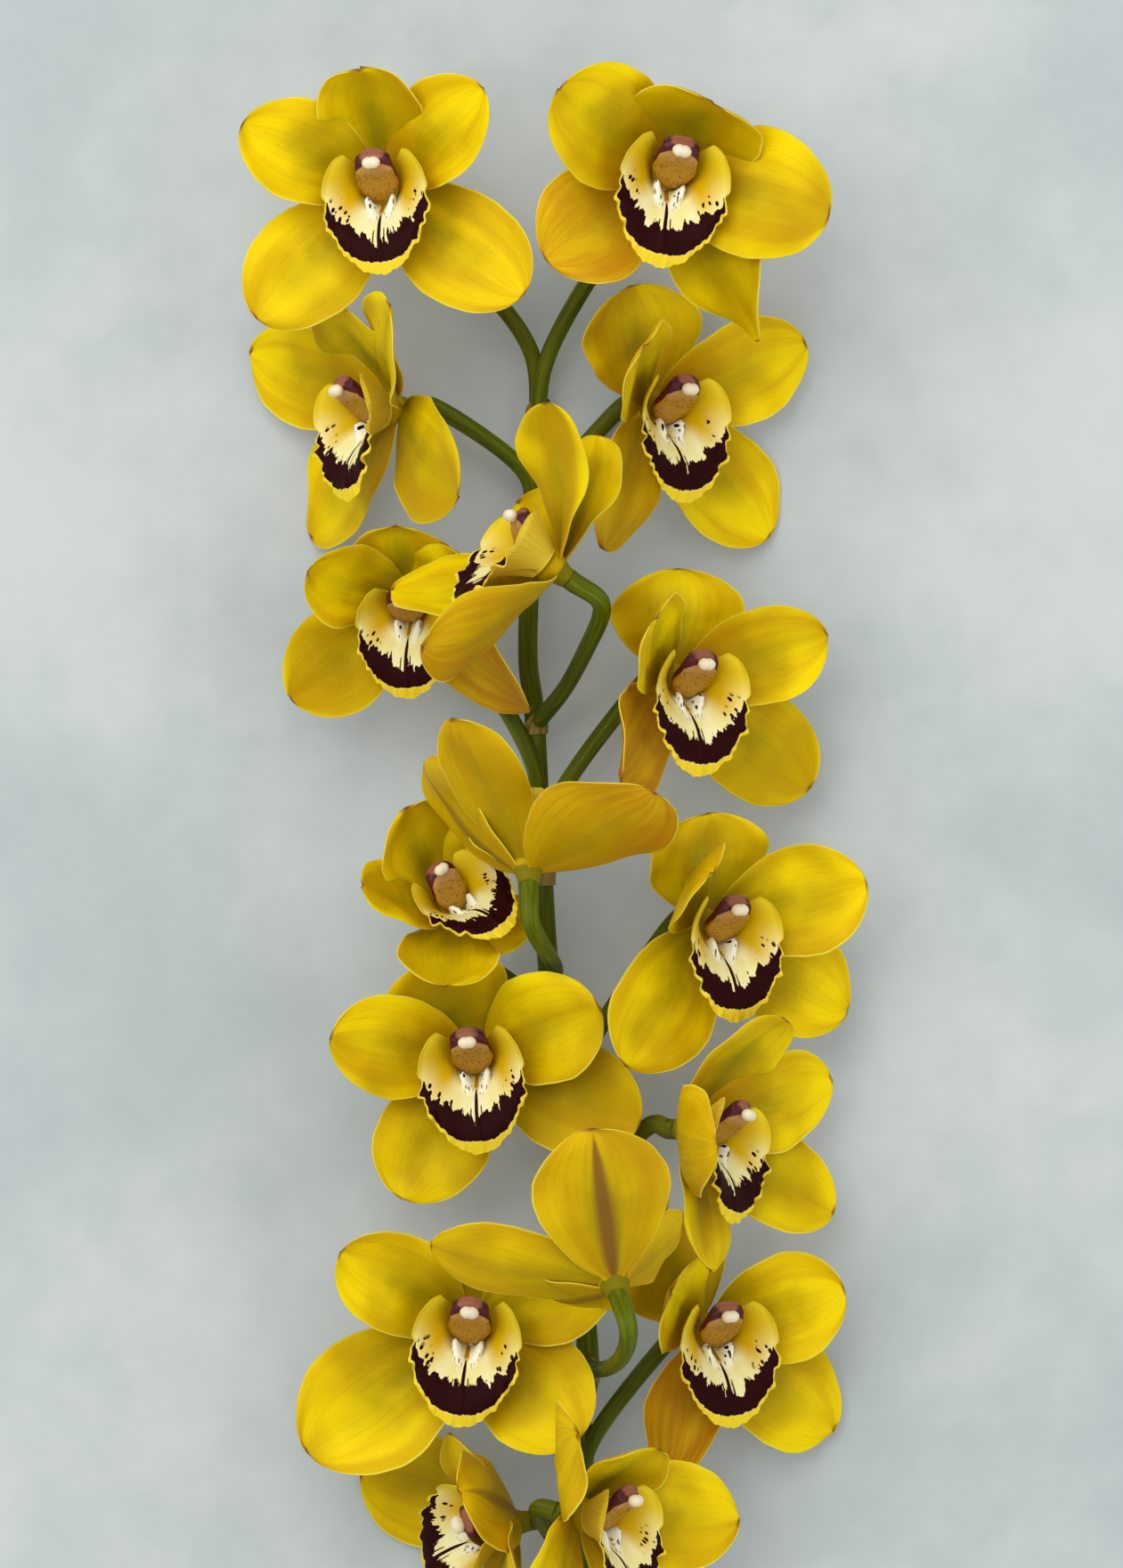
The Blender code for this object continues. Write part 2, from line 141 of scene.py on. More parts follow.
# Column, which bows from its foot to its hooded end
COLUMN_FOOT = 2.9
COLUMN_BACK = -2.0
COLUMN_LENGTH = 24
COLUMN_WIDE = (3.4, 3.8)
COLUMN_FOOT_DEPTH = 3.2
COLUMN_HALF_DEPTH = (3.0, 1.3)
COLUMN_FLAT_FACE = 0.55
COLUMN_BOW = (14, 34)
COLUMN_REACH = (0.62, 1.02)
COLUMN_GRID = (44, 48)
COLUMN_HOLLOW = 0.9
HOOD_NARROWING = 1.3
HOOD_OVERHANG = 1.8
CAP_GRID = (18, 28)
CAP_GROOVE = 0.5
CAP_RADIUS = 3.0
CAP_PLACE = (0, 5.4, 21.4)

# Green parts
STEM_RADIUS = 3.8
STEM_FOOT = 1.12
STEM_TAPER = 0.3
STEM_STEPS = 300
STEM_SIDES = 28
NODE_SWELL = 0.05
PEDICEL_RADIUS = 2.7
OVARY_RADIUS = 3.5
PEDICEL_SIDES = 20
PEDICEL_FLARE = 0.22
PEDICEL_RISE = (0, 1, 0.25)
PEDICEL_BEND = (0.22, 0.12)
PEDICEL_LEAD = (4, 0.14)
PEDICEL_END = 3
BRACT_GRID = (16, 13)
BRACT_BELOW = 4
BRACT_LENGTH = 9
SHEATH_LENGTH = 34
BRACT_THICKNESS = 0.5
BRACT_WRAP = 1.9
BRACT_WIDTH = 6
CAP_RINGS = (1.0, 0.6, 0.02)
PEDICEL_STEPS = 6
PEDICEL_FINENESS = 8
PEDICEL_SMOOTHING = 14
STEM_ROUTE = (
    (-4, -540, 4.26), (-5, -470, 5), (-1, -400, 9), (4, -330, 13), (6, -264, 16),
    (7, -231, 16), (6.5, -217, 16), (9, -195, 16), (3, -135, 15), (-4, -67, 14),
    (-6, -39, 14), (-9, 21, 14), (-11.5, 45, 14), (-10, 85, 11), (-8, 122, 8),
    (-7, 132, 7),
)

# What a point of the green mesh belongs to, for its material
STALK = 0.0
PEDICEL = 0.25
CUT = 0.5
BRACT = 1.0

# The middle of the whole stem's bounding box, which stands over the origin
MIDDLE_X = -2.380
MIDDLE_Y = -149.191

# The camera looks straight down, as far off as the photograph's flowers suggest
CAMERA_HEIGHT = 3.06
CAMERA_DISTANCE = 3.0
VIEW_HEIGHT = 0.5283
SENSOR = 36

# The floor, the soft lights with their places about the flowers and their sizes, and the sky
FLOOR_HALF = 4.0
LIGHTS = (("key", (-0.8, 1.0, 1.8), 2.0), ("fill", (1.5, -0.6, 1.5), 1.6))
SKY_COLOUR = (0.93, 0.96, 1.0, 1)


def tepal(angle, length, width, lift, tip_lift, cup, sink=SEPAL_SINK):
    """One petal or sepal: where it points, its size, its slope at root and tip, and its curl across."""
    return SimpleNamespace(
        angle=angle, length=length, width=width, lift=lift, tip_lift=tip_lift,
        cup=cup, sink=sink, twist=0.0,
    )


# A well opened flower, before each one's own small differences
TEPALS = {
    "dorsal": tepal(90, 50, 38, 32, 64, 0.25),
    "right_petal": tepal(29, 54, 35, 40, 18, 0.35, PETAL_SINK),
    "left_petal": tepal(151, 54, 35, 40, 18, 0.35, PETAL_SINK),
    "right_sepal": tepal(-40, 58, 40, 18, 0, 0.22),
    "left_sepal": tepal(220, 58, 40, 18, 0, 0.22),
}


def bloom(x, y, z, turn, tilt, roll, size, root, closing=0, via=(), **changes):
    """One flower: its base, the way it faces, and the height on the stem where its pedicel leaves.

    closing lifts all its tepals, via is where a pedicel bends, and changes are to single tepals.
    """
    return SimpleNamespace(
        place=Vector((x, y, z)), turn=turn, tilt=tilt, roll=roll, size=size, root=root,
        closing=closing, via=[Vector(point) for point in via], changes=changes,
    )


UPRIGHT = dict(lift=41, tip_lift=60)
LOW_HOOD = dict(length=38, lift=26, tip_lift=40)
BROAD_BACK = dict(angle=96, length=36, width=50, lift=8, tip_lift=16)

BLOOMS = (
    bloom(
        36.2, 207.2, 46, 8, 0, -12, 1.05, 118,
        dorsal=dict(angle=78, length=43, width=46, lift=40, tip_lift=84),
        left_petal=dict(angle=160, length=52, width=41),
        right_petal=dict(angle=-6, length=55, width=45),
        right_sepal=dict(angle=-50, twist=88, lift=24, width=36),
        left_sepal=dict(angle=227, length=47),
    ),
    bloom(
        31.1, 128.5, 20, 35, 0, -2, 1.02, 78, left_petal=UPRIGHT,
        dorsal=dict(angle=107, length=39, width=50, lift=4, tip_lift=8),
        left_sepal=dict(angle=246, length=50, width=34, lift=12, twist=-38),
    ),
    bloom(-60, 202, 42, -10, 5, 6, 1.0, 126),
    bloom(-58, 128, 30, -58, 0, 8, 1.0, 92, dorsal=dict(length=42)),
    bloom(
        -3.5, 73, 80, -70, 35, 0, 1.0, 20, via=((1, 32, 34), (9, 47, 58)),
        right_petal=dict(angle=60, length=58, lift=35, tip_lift=52, twist=60),
        dorsal=dict(length=45, lift=12, tip_lift=22, width=34, twist=40),
        right_sepal=dict(angle=-70, length=61, width=42, lift=10, tip_lift=48, twist=45),
        left_sepal=dict(angle=225, length=56, width=36, lift=30, tip_lift=46),
        left_petal=dict(length=36, lift=30),
    ),
    bloom(
        -50.8, 61.7, 32, -10, -15, 0, 0.9, -16, closing=6, dorsal=LOW_HOOD,
        left_petal=dict(length=46), right_petal=dict(length=36, lift=30),
        right_sepal=dict(twist=60),
    ),
    bloom(
        38.7, 35, 38, 28, 0, -3, 1.0, -30, left_petal=UPRIGHT, dorsal=BROAD_BACK,
        right_petal=dict(angle=21), right_sepal=dict(angle=-33),
        left_sepal=dict(angle=232, lift=12, tip_lift=32, twist=-45, length=46),
    ),
    bloom(
        -11.3, -27, 76, 6, 114, 90, 1.0, -68, closing=6, via=((-2, -63, 30), (-5, -57, 54)),
        left_sepal=dict(angle=224, lift=8, tip_lift=14, width=58, length=54),
        right_sepal=dict(angle=-66, lift=34, tip_lift=24, length=62),
        right_petal=dict(lift=46, tip_lift=60, length=34),
        left_petal=dict(width=28, length=60),
    ),
    bloom(
        -37.4, -42.5, 36, 0, 35, 42, 0.88, -96, closing=12, right_petal=dict(length=40),
        right_sepal=dict(angle=-68, length=34, width=30, lift=12),
        left_sepal=dict(angle=226, length=46), left_petal=dict(length=44),
    ),
    bloom(
        49.5, -47.9, 36, 30, 0, -1, 1.0, -122, dorsal=BROAD_BACK,
        left_petal=dict(angle=143, length=54, lift=30, tip_lift=86),
        right_petal=dict(angle=18, width=39), right_sepal=dict(angle=-31), left_sepal=dict(angle=234),
    ),
    bloom(
        -29, -92.6, 34, -6, 0, 7, 1.0, -140,
        dorsal=dict(angle=109, length=39, width=46, lift=26, tip_lift=36),
        left_petal=dict(angle=164, length=52), right_petal=dict(angle=15, length=50, width=40),
        right_sepal=dict(angle=-29), left_sepal=dict(angle=236, length=52),
    ),
    bloom(
        45, -117, 44, 57, 0, -12, 0.98, -160,
        left_petal=dict(angle=198, length=48, width=40, lift=10, tip_lift=80),
        right_sepal=dict(angle=-22, lift=37, tip_lift=26, width=38),
        left_sepal=dict(angle=266, lift=26, tip_lift=14, width=30, length=50),
    ),
    bloom(
        17.3, -164.9, 96, 17, 136, 20, 1.0, -200, via=((15, -198, 46), (20, -192, 82)),
        left_sepal=dict(angle=234, width=46, length=58, lift=16, tip_lift=20),
        right_sepal=dict(lift=32, tip_lift=50, length=34, width=24),
        left_petal=dict(length=60, lift=16, tip_lift=30),
        dorsal=dict(length=40, angle=100, lift=20, tip_lift=60),
        right_petal=dict(length=36, lift=46, tip_lift=66),
    ),
    bloom(
        -30.5, -183.8, 36, -3, 0, -6, 1.03, -232, dorsal=LOW_HOOD,
        left_sepal=dict(length=66, width=46), right_sepal=dict(lift=26, tip_lift=16, length=52),
        right_petal=dict(lift=30, tip_lift=8),
    ),
    bloom(
        49.4, -185.9, 23, 22, 0, 2, 1.0, -246,
        dorsal=dict(angle=120, length=42, width=42, lift=12, tip_lift=20),
        left_petal=dict(lift=41, tip_lift=60, length=46),
        right_petal=dict(angle=16, length=47, width=39),
        left_sepal=dict(angle=252, lift=10, tip_lift=2, width=28, length=50, twist=66),
        right_sepal=dict(tip_lift=-14),
    ),
    bloom(
        -18.2, -251.9, 28, -62, -5, -60, 1.0, -275, left_petal=dict(length=36),
        left_sepal=dict(lift=24, tip_lift=50, width=42),
    ),
    bloom(
        7.4, -245.9, 60, 55, 0, 0, 1.0, -286,
        dorsal=dict(angle=76, length=36, lift=48, tip_lift=60),
        left_petal=dict(angle=143, lift=2, tip_lift=56, width=38, twist=50),
        right_petal=dict(angle=-4, length=56, width=38, lift=36, tip_lift=30),
    ),
)

# Single tepals' own tints: how strong the midrib is, and the flush of the back, which above 1
# shows on the front too
TINTS = {
    (1, "left_sepal"): (0.3, 1.6),
    (1, "right_sepal"): (0.3, 0.7),
    (2, "left_sepal"): (0.3, 1.4),
    (3, "right_sepal"): (0.3, 1.2),
    (4, "right_sepal"): (0.3, 1.0),
    (5, "right_sepal"): (0.3, 0.5),
    (5, "left_sepal"): (0.3, 0.5),
    (6, "right_sepal"): (0.3, 1.7),
    (7, "left_sepal"): (0.3, 1.8),
    (8, "left_sepal"): (0.3, 0.65),
    (13, "left_sepal"): (0.9, 0.25),
    (15, "left_sepal"): (0.3, 1.8),
}
RIB = 0.35
DORSAL_RIB = 0.75
BLUSH = 0.25


# Curves and sheets

def between(four, t):
    """The Catmull-Rom point from the second of four points, at t = 0, to the third, at t = 1."""
    a, b, c, d = four
    return 0.5 * (
        2 * b + (c - a) * t + (2 * a - 5 * b + 4 * c - d) * t * t
        + (3 * b - a - 3 * c + d) * t ** 3
    )


def smooth_path(points, count):
    """Points along a Catmull-Rom curve through the given ones."""
    ends = [2 * points[0] - points[1], *points, 2 * points[-1] - points[-2]]
    spans = len(points) - 1
    found = []
    for i in range(count + 1):
        along = min(i * spans / count, spans - 1e-9)
        k = int(along)
        found.append(between(ends[k:k + 4], along - k))
    return found


def ramp(value, low, high):
    """0 below low and 1 above high, smoothly between."""
    share = np.clip((value - low) / (high - low), 0, 1)
    return share * share * (3 - 2 * share)


def bump_at(value, middle, width):
    return np.exp(-((value - middle) / width) ** 2)


def normals_of(points):
    """The unit normals of a grid of points."""
    normal = np.cross(np.gradient(points, axis=0), np.gradient(points, axis=1))
    return normal / np.maximum(np.linalg.norm(normal, axis=2, keepdims=True), 1e-9)


class Skin:
    """Gathers grids of points into one mesh, with named numbers on its points."""

    def __init__(self):
        self.points = []
        self.faces = []
        self.marks = {}
        self.count = 0

    def grid(self, points, closed=False, **marks):
        """Adds a grid of points, (rows, columns, 3); closed joins its last column to its first."""
        rows, columns = points.shape[:2]
        index = np.arange(rows * columns).reshape(rows, columns) + self.count
        if closed:
            index = np.concatenate([index, index[:, :1]], axis=1)
        quads = np.stack([index[:-1, :-1], index[1:, :-1], index[1:, 1:], index[:-1, 1:]], axis=-1)
        self.faces.append(quads.reshape(-1, 4))
        self.points.append(points.reshape(-1, 3))
        for name, value in marks.items():
            spread = np.broadcast_to(value, (rows, columns)).reshape(-1)
            self.marks.setdefault(name, []).append(spread)
        self.count += rows * columns
        return index

    def stitch(self, ring, other):
        """Joins two rows of points that run side by side."""
        self.faces.append(np.stack([ring[:-1], ring[1:], other[1:], other[:-1]], axis=-1))

    def shell(self, points, thickness, **marks):
        """Adds a sheet with both its faces, thickened to both sides, and its rim."""
        offset = normals_of(points) * np.asarray(thickness)[..., None] / 2
        front = self.grid(points + offset, face=1.0, **marks)
        turned = {
            name: np.broadcast_to(value, points.shape[:2])[:, ::-1] for name, value in marks.items()
        }
        back = self.grid((points - offset)[:, ::-1], face=0.0, **turned)[:, ::-1]
        self.stitch(front[:, 0], back[:, 0])
        self.stitch(back[:, -1], front[:, -1])
        self.stitch(back[0], front[0])
        self.stitch(front[-1], back[-1])

    def piece(self, name, finish, slot, *nodes):
        """Makes the object, which rides on the root body and stands for CAD nodes."""
        points = np.concatenate(self.points) - (MIDDLE_X, MIDDLE_Y, 0)
        mesh = bpy.data.meshes.new(name)
        mesh.from_pydata((points * MM).tolist(), [], np.concatenate(self.faces).tolist())
        mesh.shade_smooth()
        for mark, values in self.marks.items():
            layer = mesh.attributes.new(mark, "FLOAT", "POINT")
            layer.data.foreach_set("value", np.concatenate(values).astype(np.float32))
        mesh.validate()
        mesh.materials.append(finish)
        made = bpy.data.objects.new(name, mesh)
        bpy.context.scene.collection.objects.link(made)
        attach(made, "root")
        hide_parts(*nodes)


def frame_of(flower):
    """Turns and places a flower, in millimetres."""
    turned = (
        Matrix.Rotation(math.radians(flower.turn), 4, "Y")
        @ Matrix.Rotation(math.radians(-flower.tilt), 4, "X")
        @ Matrix.Rotation(math.radians(flower.roll), 4, "Z")
    )
    return Matrix.Translation(flower.place) @ turned @ Matrix.Scale(flower.size, 4)


def placed(matrix, points):
    """A grid of points moved by a matrix."""
    moved = np.array(matrix)
    return points @ moved[:3, :3].T + moved[:3, 3]


def above_floor(points, half):
    """Bends what would sink below the surface flat along it."""
    rest = half + FLOOR_GAP
    over = (points[..., 2] - rest) / FLOOR_SOFTNESS
    bent = rest + FLOOR_SOFTNESS * np.log1p(np.exp(np.minimum(over, 30)))
    points[..., 2] = np.where(over < 20, bent, points[..., 2])
    return points


# The flower's parts

def forms_of(flower, seed):
    """The flower's five tepals, each a little different from the next flower's."""
    draw = random.Random(seed)
    forms = {}
    for name, base in TEPALS.items():
        form = SimpleNamespace(**vars(base))
        form.angle += draw.uniform(-4, 4)
        form.length *= draw.uniform(0.96, 1.04)
        form.width *= draw.uniform(0.96, 1.04)
        form.lift += draw.uniform(-3, 3)
        form.tip_lift += draw.uniform(-8, 6)
        form.cup += draw.uniform(-0.08, 0.08)
        form.lift += flower.closing * 0.5
        form.tip_lift += flower.closing * 2
        form.twist += draw.uniform(-6, 6)
        for key, value in flower.changes.get(name, {}).items():
            setattr(form, key, value)
        forms[name] = form
    return forms


def tepal_points(form, u, v, phase):
    """The tepal's middle surface: u runs from root to tip, v from edge to edge."""
    lift = math.radians(form.lift)
    turn = math.radians(form.tip_lift - form.lift) or 1e-6
    slope = lift + turn * u
    out = form.length * (np.sin(slope) - math.sin(lift)) / turn
    rise = form.length * (math.cos(lift) - np.cos(slope)) / turn
    widest = form.width / 2
    half = widest * np.clip(np.sin(math.pi * u ** WIDEST_AT), 0, None) ** ROUNDNESS
    half = np.maximum(half, np.where(u < 0.5, widest * ROOT_WIDTH, TIP_HALF_WIDTH))
    lap = np.sign(v) * phase
    half = half * (1 + sum(share * np.sin(rate * u + part * lap) for rate, part, share in OUTLINE_WAVES))
    arc = form.cup * half / widest * v
    across = half * v * np.sinc(arc / math.pi)
    raised = half * np.abs(v) * (1 - np.cos(arc)) / np.maximum(np.abs(arc), 1e-6)
    raised += TEPAL_WAVE * v * v * np.sin(7 * u + 2.2 * v + form.angle) * half / widest
    edge = np.abs(v) ** 3.2
    raised += edge * EDGE_WAVE * np.sin(13 * u + 1.5 * np.sign(v) + phase) * ramp(u, 0.15, 0.4)
    raised += TEPAL_RIPPLE * np.sin(9 * u + 4 * v + 2 * phase) * ramp(u, 0.15, 0.5)
    groove = bump_at(v * half, 0, RIB_HALF_WIDTH) * ramp(u, 0.03, 0.15) * (1 - ramp(u, 0.8, 1.0))
    raised += TIP_RISE * bump_at(u, 1.0, 0.06) - RIB_GROOVE * groove
    swing = math.radians(form.twist) * u
    across, raised = (
        across * np.cos(swing) - raised * np.sin(swing),
        across * np.sin(swing) + raised * np.cos(swing),
    )
    out = out - raised * np.sin(slope)
    rise = rise + raised * np.cos(slope)
    heading = math.radians(form.angle)
    reach = TEPAL_ROOT + out
    return np.stack([
        math.cos(heading) * reach - math.sin(heading) * across,
        math.sin(heading) * reach + math.cos(heading) * across,
        form.sink + rise,
    ], axis=-1)


def make_tepals(name, flower, seed, finish, looks):
    skin = Skin()
    matrix = frame_of(flower)
    draw = random.Random(100 + seed)
    rows, columns = TEPAL_GRID
    u, v = np.meshgrid(
        1 - (1 - np.linspace(0, 1, rows)) ** TIP_CROWDING,
        np.sin(np.linspace(-1, 1, columns) * math.pi / 2), indexing="ij",
    )
    rim = np.minimum(1 - np.abs(v), (1 - u) * 1.6)
    share = RIM_THICKNESS + (1 - RIM_THICKNESS) * ramp(rim, 0, RIM_REACH)
    thickness = looks.tepal_thickness / MM * share
    for part, form in forms_of(flower, seed).items():
        rib, blush = TINTS.get((seed, part), (DORSAL_RIB if part == "dorsal" else RIB, BLUSH))
        points = placed(matrix, tepal_points(form, u, v, draw.uniform(0, 6)))
        skin.shell(
            above_floor(points, TEPAL_HALF_THICKNESS), thickness,
            reach=u, across=v, draw=draw.random(), rib=rib, blush=blush,
        )
    turn = np.linspace(0, 2 * math.pi, BASE_SIDES, endpoint=False)
    radius, height = np.hsplit(np.array(BASE_PROFILE)[::-1], 2)
    radius = radius * (1 + BASE_RIPPLE * np.cos(3 * turn))
    rings = np.stack([radius * np.cos(turn), radius * np.sin(turn), height + 0 * turn], axis=-1)
    skin.grid(
        placed(matrix, rings), closed=True, face=0.5, across=0.5, draw=0.5, rib=0.0, blush=0.2,
        reach=np.where(height > BASE_GREEN_BELOW, 0.02, -0.2),
    )
    skin.piece(f"{name}_petals", finish, "tepals", f"{name}_tepals")


def rim_point(s):
    """The lip's edge: s runs from the left side lobe's top, -1, by the middle, 0, to the right, 1."""
    path = [Vector(knot) for knot in LIP_EDGE]
    path = [Vector((-path[1].x, path[1].y, path[1].z)), *path, 2 * path[-1] - path[-2]]
    spans = len(LIP_EDGE) - 1
    along = min(abs(s) * spans, spans - 1e-9)
    k = int(along)
    point = between(path[k:k + 4], along - k)
    point.x *= math.copysign(1, s)
    return point


def lip_points(s, t, draw, ruffle):
    """The lip's middle surface: t runs from the throat, over the fold, to its ruffled edge."""
    turn = np.radians(LIP_SWEEP * s - 90)
    throat = np.stack([
        THROAT[0] * np.cos(turn),
        THROAT[1] * np.sin(turn) + THROAT_SHIFT,
        THROAT_HEIGHT + 0 * turn,
    ], axis=-1)
    edge = np.array([rim_point(value) for value in s[:, 0]])[:, None, :] + 0 * throat
    away = np.abs(s)
    middle = 1 - np.minimum(away / MIDDLE_LOBE, 1) ** 2
    fold = throat + (edge - throat) * LIP_FOLD_AT
    fold[..., 2] += LIP_FOLD_RISE + LIP_FOLD_BULGE * middle
    fold[..., :2] *= (LIP_FOLD_SIDE - LIP_FOLD_PINCH * middle)[..., None]
    # The edge's notches and scallops move points along the surface
    notch = bump_at(away, NOTCH, NOTCH_WIDTH) * ramp(t, 0.75, 1)
    lobe = 1 - ramp(away, NOTCH - 0.06, NOTCH)
    a, b = draw.uniform(0, 6), draw.uniform(0, 6)
    scallop = np.sin(31 * s + a) + 0.7 * np.sin(53 * s + b) + 0.7 * np.sin(97 * s + a + b)
    scallop *= 0.4 + 0.6 * ramp(away, 0.15, 0.45) + 2.2 * ramp(away, 0.5, 0.68)
    t = t * (1 - NOTCH_DEPTH * notch) + SCALLOP * scallop * lobe * ramp(t, 0.85, 1)
    t = t * (1 - LOBE_TAPER * np.clip((away - 0.8) / 0.2, 0, 1) ** 2.5)
    share = t[..., None]
    points = (1 - share) ** 2 * throat + 2 * share * (1 - share) * fold + share * share * edge
    # Ruffles, the middle groove and the lobes' curl move them off it, and the keels stand up
    wave = np.sin(37 * s + b) + 0.8 * np.sin(61 * s + a) + 0.4 * np.sin(97 * s - b)
    lift = ruffle / MM * wave * lobe * ramp(t, 0.8, 1) * (0.4 + 1.8 * ramp(away, 0.2, 0.55))
    lift -= LIP_GROOVE * bump_at(s, 0, 0.03) * ramp(t, 0.2, 0.4) * (1 - ramp(t, 0.8, 0.95))
    lift -= LOBE_CURL * ramp(away, NOTCH, NOTCH + 0.1) * ramp(t, 0.85, 1)
    crest = KEEL_AT + KEEL_SPLAY * (1 - ramp(t, *KEEL_PARTING))
    keel = KEEL_RISE * bump_at(away, crest, KEEL_WIDTH) * ramp(t, 0.02, 0.1) * (1 - ramp(t, 0.1, 0.3))
    aside, up, out = KEEL_LEAN
    lean = np.stack([aside * np.sign(s), up + 0 * s, out + 0 * s], axis=-1)
    return points + normals_of(points) * lift[..., None] + lean * keel[..., None]


def make_lip(name, flower, seed, finish, looks):
    skin = Skin()
    draw = random.Random(200 + seed)
    rows, columns = LIP_GRID
    s, t = np.meshgrid(
        np.linspace(-1, 1, rows), 1 - (1 - np.linspace(0, 1, columns)) ** LIP_CROWDING, indexing="ij"
    )
    points = placed(frame_of(flower), lip_points(s, t, draw, looks.ruffle_depth))
    thickness = LIP_THICKNESS + (LIP_RIM_THICKNESS - LIP_THICKNESS) * ramp(t, 0.8, 1)
    skin.shell(points, -thickness, side=s, reach=t, draw=draw.random())
    skin.piece(f"{name}_labellum", finish, "lip", f"{name}_lip")


def column_points(along, around):
    """The column: along runs from its foot to its hooded end, around is an angle from its back."""
    ring = np.sin(along * math.pi)
    body = np.minimum(ring * 2.4, 1) ** 0.45
    wide = COLUMN_WIDE[0] + COLUMN_WIDE[1] * ramp(along, -0.05, 0.4)
    half = body * (wide - HOOD_NARROWING * ramp(along, 0.4, 1.0))
    deep = body * (COLUMN_HALF_DEPTH[0] + COLUMN_HALF_DEPTH[1] * along)
    side, up = np.sin(around), np.cos(around)
    side = np.sign(side) * np.abs(side) ** 0.8
    foot = COLUMN_FOOT_DEPTH * body * (1 - ramp(along, 0.02, 0.55))
    hollow = ramp(along, 0.25, 0.5) * (1 - ramp(along, 0.72, 0.9)) * bump_at(side, 0, 0.55)
    below = (deep * COLUMN_FLAT_FACE + foot) * np.abs(up) ** 0.55 - COLUMN_HOLLOW * hollow
    up = np.where(up < 0, -below, up * deep)
    bow = np.radians(COLUMN_BOW[0] + COLUMN_BOW[1] * along)
    reach = COLUMN_LENGTH * along
    hood = ramp(along, 0.72, 0.92) * ramp(up, 0.0, 2.5) * (1 - ramp(along, 0.97, 1.0))
    y = COLUMN_BACK + reach * np.sin(bow) * COLUMN_REACH[0] + np.cos(bow) * up + 0.5 * ramp(along, 0.7, 1)
    z = reach * np.cos(bow) * COLUMN_REACH[1] - np.sin(bow) * up + HOOD_OVERHANG * hood
    return np.stack([side * half, y, COLUMN_FOOT + np.maximum(z, 0)], axis=-1)


def cap_points(down, around):
    """The pollen cap, a small bead with two lobes."""
    ring = np.sin(down)
    x = CAP_RADIUS * 1.05 * ring * np.cos(around)
    radius = CAP_RADIUS - CAP_GROOVE * bump_at(x, 0, 0.7) * ring
    y = radius * 0.74 * ring * np.sin(around)
    z = radius * 0.8 * np.cos(down)
    return np.stack([x, y, z], axis=-1) + CAP_PLACE


def make_column(name, flower, seed, finish):
    skin = Skin()
    matrix = frame_of(flower)
    draw = random.Random(300 + seed).random()
    rows, columns = COLUMN_GRID
    along, around = np.meshgrid(
        np.linspace(0, 1, rows), np.linspace(-math.pi, math.pi, columns, endpoint=False)[::-1],
        indexing="ij",
    )
    points = column_points(along, around)
    skin.grid(
        placed(matrix, points), closed=True, reach=along, under=-np.cos(around),
        aside=points[..., 0], height=points[..., 1], cap=0.0, draw=draw,
    )
    rows, columns = CAP_GRID
    down, around = np.meshgrid(
        np.linspace(0.001, math.pi - 0.001, rows), np.linspace(0, 2 * math.pi, columns, endpoint=False),
        indexing="ij",
    )
    skin.grid(
        placed(matrix, cap_points(down, around)), closed=True, reach=1.0, under=0.0,
        aside=0.0, height=0.0, cap=1.0, draw=draw,
    )
    skin.piece(f"{name}_gynostemium", finish, "column", f"{name}_column")


# The green parts

def stem_at(height):
    """The main stem's middle at that distance along Y."""
    route = smooth_path([Vector(point) for point in STEM_ROUTE], 400)
    return min(route, key=lambda point: abs(point.y - height))


def pedicel_route(flower):
    """From the main stem to the back of the flower's base, square to it at the end."""
    matrix = frame_of(flower)
    facing = (matrix.to_3x3() @ Vector((0, 0, 1))).normalized()
    back = matrix @ Vector((0, 0, NECK_BACK)) - facing * GAP
    start = stem_at(flower.root)
    reach = (back - start).length
    lead = back - facing * (PEDICEL_LEAD[0] + PEDICEL_LEAD[1] * reach)
    bends = flower.via
    if not bends:
        rise = Vector(PEDICEL_RISE).normalized()
        bends = [start + rise * reach * PEDICEL_BEND[0] + (lead - start) * PEDICEL_BEND[1]]
    ends = [lead, back - facing * PEDICEL_END]
    whole = [*smooth_path([start, *bends, *ends], PEDICEL_STEPS * PEDICEL_FINENESS), back]
    for step in range(PEDICEL_SMOOTHING):
        inner = []
        for before, point, after in zip(whole, whole[1:-1], whole[2:-1]):
            inner.append((before + 2 * point + after) / 4)
        whole = [whole[0], *inner, *whole[-2:]]
    return whole


